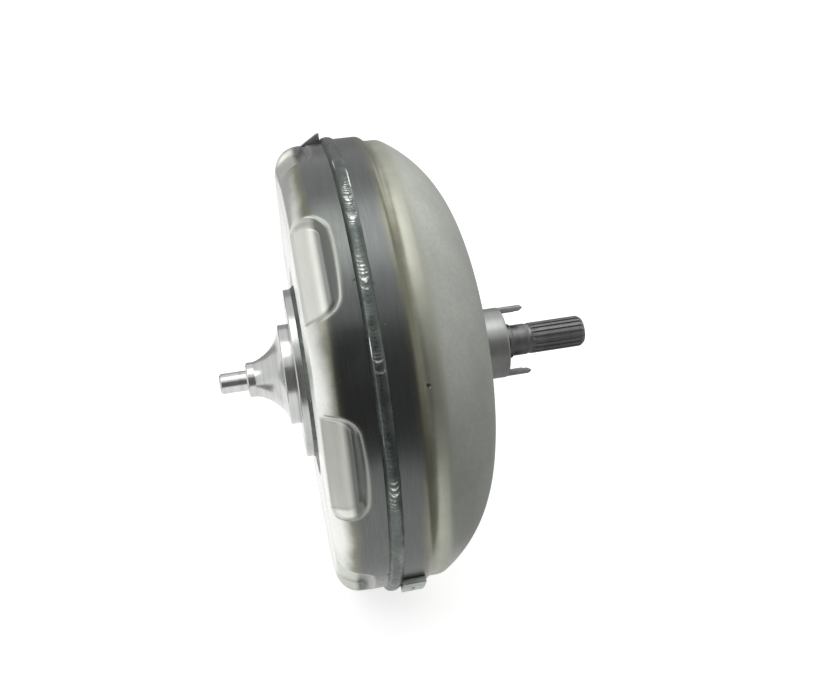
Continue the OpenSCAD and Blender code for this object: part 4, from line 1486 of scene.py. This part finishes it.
@dataclass
class TurbineShaft:
    """Splined shaft that carries the turbine's drive to the transmission."""

    at: Stations
    shaft_r: float = 11.0
    spline_h: float = 1.3
    spline_l: float = 39.0
    teeth: int = 18
    spigot_r: float = 9.0
    land_r: float = 12.2
    land_ahead: float = 6.0
    land_behind: float = 6.5
    seal_at: float = 1.6
    seal_l: float = 2.0

    TOOTH = ((0.0, 1.0), (0.1, 1.0), (0.165, 0.985), (0.195, 0.93), (0.215, 0.8), (0.235, 0.5),
             (0.255, 0.25), (0.28, 0.09), (0.32, 0.015), (0.39, 0.0), (0.5, 0.0))

    def hub_span(self) -> tuple[float, float]:
        """Returns the stations between which the turbine hub grips the shaft."""
        low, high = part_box("turbine_hub")
        return low.x / MM, high.x / MM

    def profile(self) -> Profile:
        """Returns the shaft's outline over the tips of its teeth."""
        start, end = self.hub_span()
        first, last, r = self.at.shaft_x, self.at.shaft_end, self.shaft_r
        root = r - self.spline_h
        spline, hub = last - self.spline_l, self.at.hub_end
        land0, land1 = hub - self.land_ahead, hub + self.land_behind
        seal0, seal1 = hub + self.seal_at - 0.1, hub + self.seal_at + self.seal_l + 0.1
        groove_r, ring_r = self.land_r - 1.8, r - 2.6
        return Profile([
            Corner(first, 0, 0), Corner(first, self.spigot_r - 0.8, 0.2),
            Corner(first + 0.8, self.spigot_r, 0.2), Corner(start - 3, self.spigot_r, 0.2),
            Corner(start - 3, root, 0.2), Corner(start - 2.2, root, 0.1),
            Corner(start - 2.2, ring_r, 0.1), Corner(start - 0.3, ring_r, 0.1),
            Corner(start - 0.3, root, 0.1),
            Corner(start, root, 0.1), Corner(start, r, 0.1), Corner(end, r, 0.1),
            Corner(end + 0.1, r, 0.1), Corner(land0, r, 0.5), Corner(land0, self.land_r - 0.5, 0.2),
            Corner(land0 + 0.5, self.land_r, 0.2),
            Corner(seal0, self.land_r, 0.1), Corner(seal0, groove_r, 0.1), Corner(seal1, groove_r, 0.1),
            Corner(seal1, self.land_r, 0.1), Corner(land1 - 0.5, self.land_r, 0.2),
            Corner(land1, self.land_r - 0.5, 0.2), Corner(land1, r, 0.5), Corner(spline - 3.4, r, 0.3),
            Corner(spline - 2.8, r - 0.35, 0.3), Corner(spline - 0.4, r - 0.35, 0.3),
            *[Corner(spline + 0.3 * k, r, 0.05) for k in range(9)],
            Corner(last - 2.6, r, 0.3), Corner(last, r - 1.8, 0.25), Corner(last, 3.2, 0.15),
            Corner(last - 1.2, 2.0, 0.1), Corner(last - 4.2, 1.9, 0.1), Corner(last - 5, 0, 0),
        ], closed=False)

    def columns(self) -> np.ndarray:
        """Returns the angles of the columns, matched to the corners of the teeth."""
        half = np.array([q for q, _ in self.TOOTH])
        tooth = np.concatenate([-half[:0:-1], half[:-1]])
        pitch = 2 * math.pi / self.teeth
        starts = -math.pi / 2 + pitch * np.arange(self.teeth)
        return np.concatenate([start + tooth * pitch for start in starts])

    def splined(self, x: np.ndarray, r: np.ndarray, a: np.ndarray) -> tuple[np.ndarray, ...]:
        """Cuts the teeth of both splines."""
        start, end = self.hub_span()
        share = np.mod((a + math.pi / 2) * self.teeth / (2 * math.pi) + 0.5, 1.0) - 0.5
        places, heights = zip(*self.TOOTH)
        height = np.interp(np.abs(share), places, heights)
        run_out = (x - self.at.shaft_end + self.spline_l) / 2.4
        full = np.clip(run_out, 0, 1) ** 0.6 + ((x > start - 0.2) & (x < end + 0.05))
        tooth = self.shaft_r - self.spline_h * (1 - height) * full
        return x, np.where((full > 0) & (r > 3.5), np.minimum(r, tooth), r), a

    def build(self, material: bpy.types.Material) -> None:
        """Makes the shaft."""
        rows = self.profile().points(turn=10, widest=4)
        piece = turned_mesh("splined_turbine_shaft", rows, self.columns(), closed=False,
                            shape=self.splined)
        install(piece, TURBINE, ["turbine_shaft"], material)


@dataclass
class BalanceWeights:
    """The balance weight on the band and the small wedge beside the rim weld."""

    at: Stations
    lap: float = 1.9
    weight_x: float = 4.6
    weight_l: float = 14.0
    weight_w: float = 27.0
    weight_t: float = 4.0
    weight_a: float = 223.0
    mark_r: float = 1.3
    mark_at: float = 3.0
    clip_a: float = 79.0
    clip_w: float = 6.0

    def weight(self) -> bpy.types.Object:
        """Returns the balance weight with its two spot-weld marks."""
        low, high = self.at.rim_r + 0.02, self.at.rim_r + self.weight_t
        x0 = self.at.seam_x + self.weight_x
        x1 = x0 + self.weight_l
        piece = bevelled_block("rim_balance_weight", [(x0, low), (x0, high), (x1, high), (x1, low)],
                               self.weight_w, 0.45, cuts=23)
        bend_round_shaft(piece)
        mark = bmesh.new()
        for offset in (-self.mark_at, self.mark_at):
            spot = Vector((x0 + self.weight_l * 0.45, high - 0.3, offset)) * MM
            bmesh.ops.create_uvsphere(mark, u_segments=24, v_segments=14, radius=self.mark_r * MM,
                                      matrix=Matrix.Translation(spot))
        mesh = bpy.data.meshes.new("marks")
        mark.to_mesh(mesh)
        mark.free()
        piece = combined(piece, link("marks", mesh), Cut.DIFFERENCE)
        turn_about_shaft(piece, self.weight_a)
        return piece

    def clip(self) -> bpy.types.Object:
        """Returns the wedge that rises towards the rim weld."""
        seam, low, high = self.at.seam_x, self.at.rim_r - self.lap + 0.02, self.at.rim_r + 5
        outline = [(seam - 16, low), (seam - 5.6, high - 0.6), (seam - 3.8, high), (seam - 3.8, low)]
        piece = bevelled_block("rim_balance_wedge", outline, self.clip_w, 0.35, cuts=5)
        bend_round_shaft(piece)
        turn_about_shaft(piece, self.clip_a)
        return piece

    def build(self, plate: bpy.types.Material, pale: bpy.types.Material) -> None:
        """Makes both pieces."""
        install(self.weight(), HOUSING, ["balance_weight"], plate)
        install(self.clip(), HOUSING, ["balance_clip"], pale)


@dataclass
class InnerWorks:
    """CAD nodes that keep their shapes, each dressed by the slot it has in the record."""

    nodes: dict[str, bpy.types.Object]
    record: dict

    FINISHES = {
        "blade_steel": PlainFinish("brazed_blade_steel", (0.6, 0.6, 0.58), (0.42, 0.4, 0.36), 0.36),
        "bearing_steel": PlainFinish("ground_bearing_steel", (0.76, 0.76, 0.77), (0.62, 0.62, 0.63), 0.18,
                                     1200.0, 0.004),
        "spring_steel": PlainFinish("dark_spring_steel", (0.2, 0.21, 0.23), (0.1, 0.1, 0.11), 0.32),
        "bronze": PlainFinish("plain_bronze", (0.72, 0.5, 0.28), (0.5, 0.32, 0.16), 0.34),
        "stator_aluminium": PlainFinish("die_cast_aluminium", (0.76, 0.77, 0.78), (0.6, 0.61, 0.62), 0.42,
                                        350.0, 0.02),
        "hub_steel": PlainFinish("turned_hub_steel", (0.5, 0.5, 0.49), (0.36, 0.36, 0.35), 0.32),
    }

    def build(self) -> None:
        """Dresses every CAD node that nothing replaces."""
        materials = {slot: finish.material() for slot, finish in self.FINISHES.items()}
        slots = {row["node"]: row["material_slot"] for row in self.record["subparts"]}
        for name, node in self.nodes.items():
            if node.hide_render:
                continue
            dress(node, materials[slots[name]])
            LOG.info("%s: CAD shape, dressed as %s", name, slots[name])


# ---- Studio -------------------------------------------------------------------------------------


@dataclass(frozen=True)
class Card:
    """A card that only the metal's reflections show.

    Args:
        name: Name of the card.
        x: Its ends along X, in metres.
        y: Its ends along Y. An upright card has one value twice.
        glow: How bright it is, where 1 is white.
        top: Height of an upright card's upper edge. A card without one lies on the floor.
    """

    name: str
    x: tuple[float, float]
    y: tuple[float, float]
    glow: float
    top: float | None = None

    def corners(self, z: float) -> list[tuple[float, float, float]]:
        """Returns the four corners of the card, whose lower edge is at z."""
        high = z if self.top is None else self.top
        (x0, x1), (y0, y1) = self.x, self.y
        return [(x0, y0, z), (x1, y0, z), (x1, y1, high), (x0, y1, high)]


@dataclass(frozen=True)
class Lamp:
    """A square lamp that faces the middle of the object.

    Args:
        name: Name of the lamp.
        place: Where it hangs, in metres.
        size: Length of its side.
        power: Its power in watts.
    """

    name: str
    place: tuple[float, float, float]
    size: float
    power: float

    def hang(self, target: Vector) -> None:
        """Hangs the lamp and turns it to the target."""
        data = bpy.data.lights.new(self.name, "AREA")
        data.size = self.size
        data.energy = self.power
        lamp = bpy.data.objects.new(self.name, data)
        lamp.location = self.place
        lamp.rotation_mode = "QUATERNION"
        lamp.rotation_quaternion = (target - Vector(self.place)).to_track_quat("-Z", "Y")
        bpy.context.scene.collection.objects.link(lamp)


@dataclass
class Studio:
    """Camera, floor, dark cards for the metal to reflect, lamps and the world."""

    floor_z: float
    camera_place: tuple[float, float, float] = (-0.0103, -0.5665, 0.2597)
    camera_right: tuple[float, float, float] = (0.9775, -0.1976, -0.0735)
    camera_up: tuple[float, float, float] = (0.1466, 0.3865, 0.9106)
    lens: float = 39.04
    floor_half: float = 15.0
    floor_glow: float = 0.72
    world_level: float = 0.35
    card_lift: float = 0.004
    target: tuple[float, float, float] = (0.06, 0, 0)

    CARDS = (
        Card("front_card", (-0.62, 0.5), (-1.0, -1.0), 0.16, 0.9),
        Card("right_card", (0.5, 1.7), (-1.0, -1.0), 0.45, 0.9),
        Card("near_floor_card", (-0.3, 1.7), (-1.0, -0.5), 0.2),
        Card("side_floor_card", (0.12, 1.7), (-0.5, 1.2), 0.42),
        Card("left_card", (-0.55, -0.2), (-0.4, -0.04), 0.3),
        Card("back_card", (-1.2, 1.7), (1.3, 1.3), 0.42, 0.8),
    )
    LAMPS = (
        Lamp("key", (-0.9, -0.6, 1.3), 0.8, 4.0),
        Lamp("top", (0.1, -0.15, 1.5), 0.9, 6.0),
        Lamp("fill", (1.2, 0.9, 0.9), 0.8, 3.0),
    )

    def camera(self) -> None:
        """Sets up the camera."""
        data = bpy.data.cameras.new("camera")
        data.sensor_width = 36.0
        data.lens = self.lens
        data.clip_start, data.clip_end = 0.01, 60.0
        camera = bpy.data.objects.new("camera", data)
        right, up = Vector(self.camera_right), Vector(self.camera_up)
        turn = Matrix((right, up, right.cross(up))).transposed().to_4x4()
        camera.matrix_world = Matrix.Translation(self.camera_place) @ turn
        bpy.context.scene.collection.objects.link(camera)
        bpy.context.scene.camera = camera

    def sheet(self, name: str, corners: Sequence[tuple[float, float, float]]) -> bpy.types.Object:
        """Makes a flat stage sheet from its four corners."""
        mesh = bpy.data.meshes.new(name)
        mesh.from_pydata([list(c) for c in corners], [], [[0, 1, 2, 3]])
        made = bpy.data.objects.new(name, mesh)
        bpy.context.scene.collection.objects.link(made)
        made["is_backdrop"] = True
        return made

    def floor(self) -> None:
        """Makes the pale floor, which looks white and keeps the object's shadow."""
        half, z = self.floor_half, self.floor_z
        floor = self.sheet("floor", Card("floor", (-half, half), (-half, half), 0).corners(z))
        material = bpy.data.materials.new("pale_floor")
        material.use_nodes = True
        nodes = NodeBuilder(material.node_tree)
        surface = material.node_tree.nodes["Principled BSDF"]
        nodes.feed(surface.inputs["Base Color"], (0.8, 0.8, 0.8))
        nodes.feed(surface.inputs["Roughness"], 0.9)
        glow = nodes.add("ShaderNodeEmission", {"Strength": self.seen_rays(nodes, self.floor_glow)})
        both = nodes.add("ShaderNodeAddShader", {0: surface.outputs[0], 1: glow.outputs[0]})
        nodes.feed(material.node_tree.nodes["Material Output"].inputs["Surface"], both.outputs[0])
        floor.data.materials.append(material)

    def seen_rays(self, nodes: NodeBuilder, strength: float) -> bpy.types.NodeSocket:
        """Returns a strength that only camera, glossy and transmission rays meet."""
        path = nodes.add("ShaderNodeLightPath").outputs
        total = path["Is Camera Ray"]
        for name in ("Is Glossy Ray", "Is Transmission Ray"):
            total = nodes.math("MAXIMUM", total, path[name])
        return nodes.math("MULTIPLY", total, strength)

    def world(self) -> None:
        """Makes the world: white where it is seen, and a plain level of light elsewhere."""
        world = bpy.data.worlds.new("world")
        bpy.context.scene.world = world
        world.use_nodes = True
        nodes = NodeBuilder(world.node_tree)
        background = world.node_tree.nodes["Background"]
        nodes.feed(background.inputs["Color"], (1, 1, 1))
        seen = self.seen_rays(nodes, 1 - self.world_level)
        nodes.feed(background.inputs["Strength"], nodes.math("ADD", seen, self.world_level))

    def card(self, card: Card) -> None:
        """Stands a card that only the metal's reflections show."""
        material = bpy.data.materials.new(card.name)
        material.use_nodes = True
        nodes = NodeBuilder(material.node_tree)
        material.node_tree.nodes.remove(material.node_tree.nodes["Principled BSDF"])
        light = nodes.add("ShaderNodeEmission", {"Strength": card.glow})
        nodes.feed(material.node_tree.nodes["Material Output"].inputs["Surface"], light.outputs[0])
        made = self.sheet(card.name, card.corners(self.floor_z + self.card_lift))
        made.data.materials.append(material)
        made.visible_camera = False
        made.visible_diffuse = False
        made.visible_shadow = False
        made.visible_transmission = False

    def build(self) -> None:
        """Sets up the whole studio."""
        self.camera()
        self.floor()
        self.world()
        for card in self.CARDS:
            self.card(card)
        for lamp in self.LAMPS:
            lamp.hang(Vector(self.target))
        bpy.context.scene.view_settings.view_transform = "Standard"


# ---- Main ---------------------------------------------------------------------------------------


def corners_of(bounds: tuple[Vector, Vector]) -> list[list[float]]:
    """Returns a box's two corners as plain lists."""
    return [list(map(float, corner)) for corner in bounds]


def main() -> None:
    """Builds the pieces round the frame, then the studio."""
    logging.basicConfig(level=logging.INFO, format="%(message)s")
    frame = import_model()
    cad_box = corners_of(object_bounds())
    at = Stations.from_frame()
    Studio(floor_z=cad_box[0][2] - 0.0003).build()

    bright = TurnedFinish("bright_turned_steel", (0.56, 0.57, 0.56), (0.34, 0.34, 0.32), 0.22)
    satin = TurnedFinish("satin_hub_steel", (0.34, 0.35, 0.34), (0.24, 0.24, 0.23), 0.36, 0.02)
    hardened = TurnedFinish("hardened_shaft_steel", (0.2, 0.2, 0.2), (0.11, 0.11, 0.11), 0.38, 0.02)
    bead = WeldFinish("rippled_weld_metal")
    droplets = WeldFinish("spatter_metal", 0.85)
    plate = PlainFinish("weight_plate_steel", (0.4, 0.43, 0.4), (0.28, 0.3, 0.28), 0.42)
    pale = PlainFinish("wedge_steel", (0.6, 0.62, 0.6), (0.25, 0.25, 0.24), 0.4)

    pilot_steel = bright.material()
    CrankPilot(at).build(pilot_steel)
    DriveRing(at).build(pilot_steel)
    cover = FrontCover(at)
    cover.build(CoverFinish(cover.front_x).material())
    Welds(at).build(bead.material(), droplets.material())
    shell = ImpellerShell(at)
    shell.build(ShellFinish(shell.band_end).material())
    PumpHub(at).build(satin.material())
    TurbineShaft(at).build(hardened.material())
    BalanceWeights(at).build(plate.material(), pale.material())
    InnerWorks(frame["nodes"], frame["record"]).build()


if __name__ == "__main__":
    main()
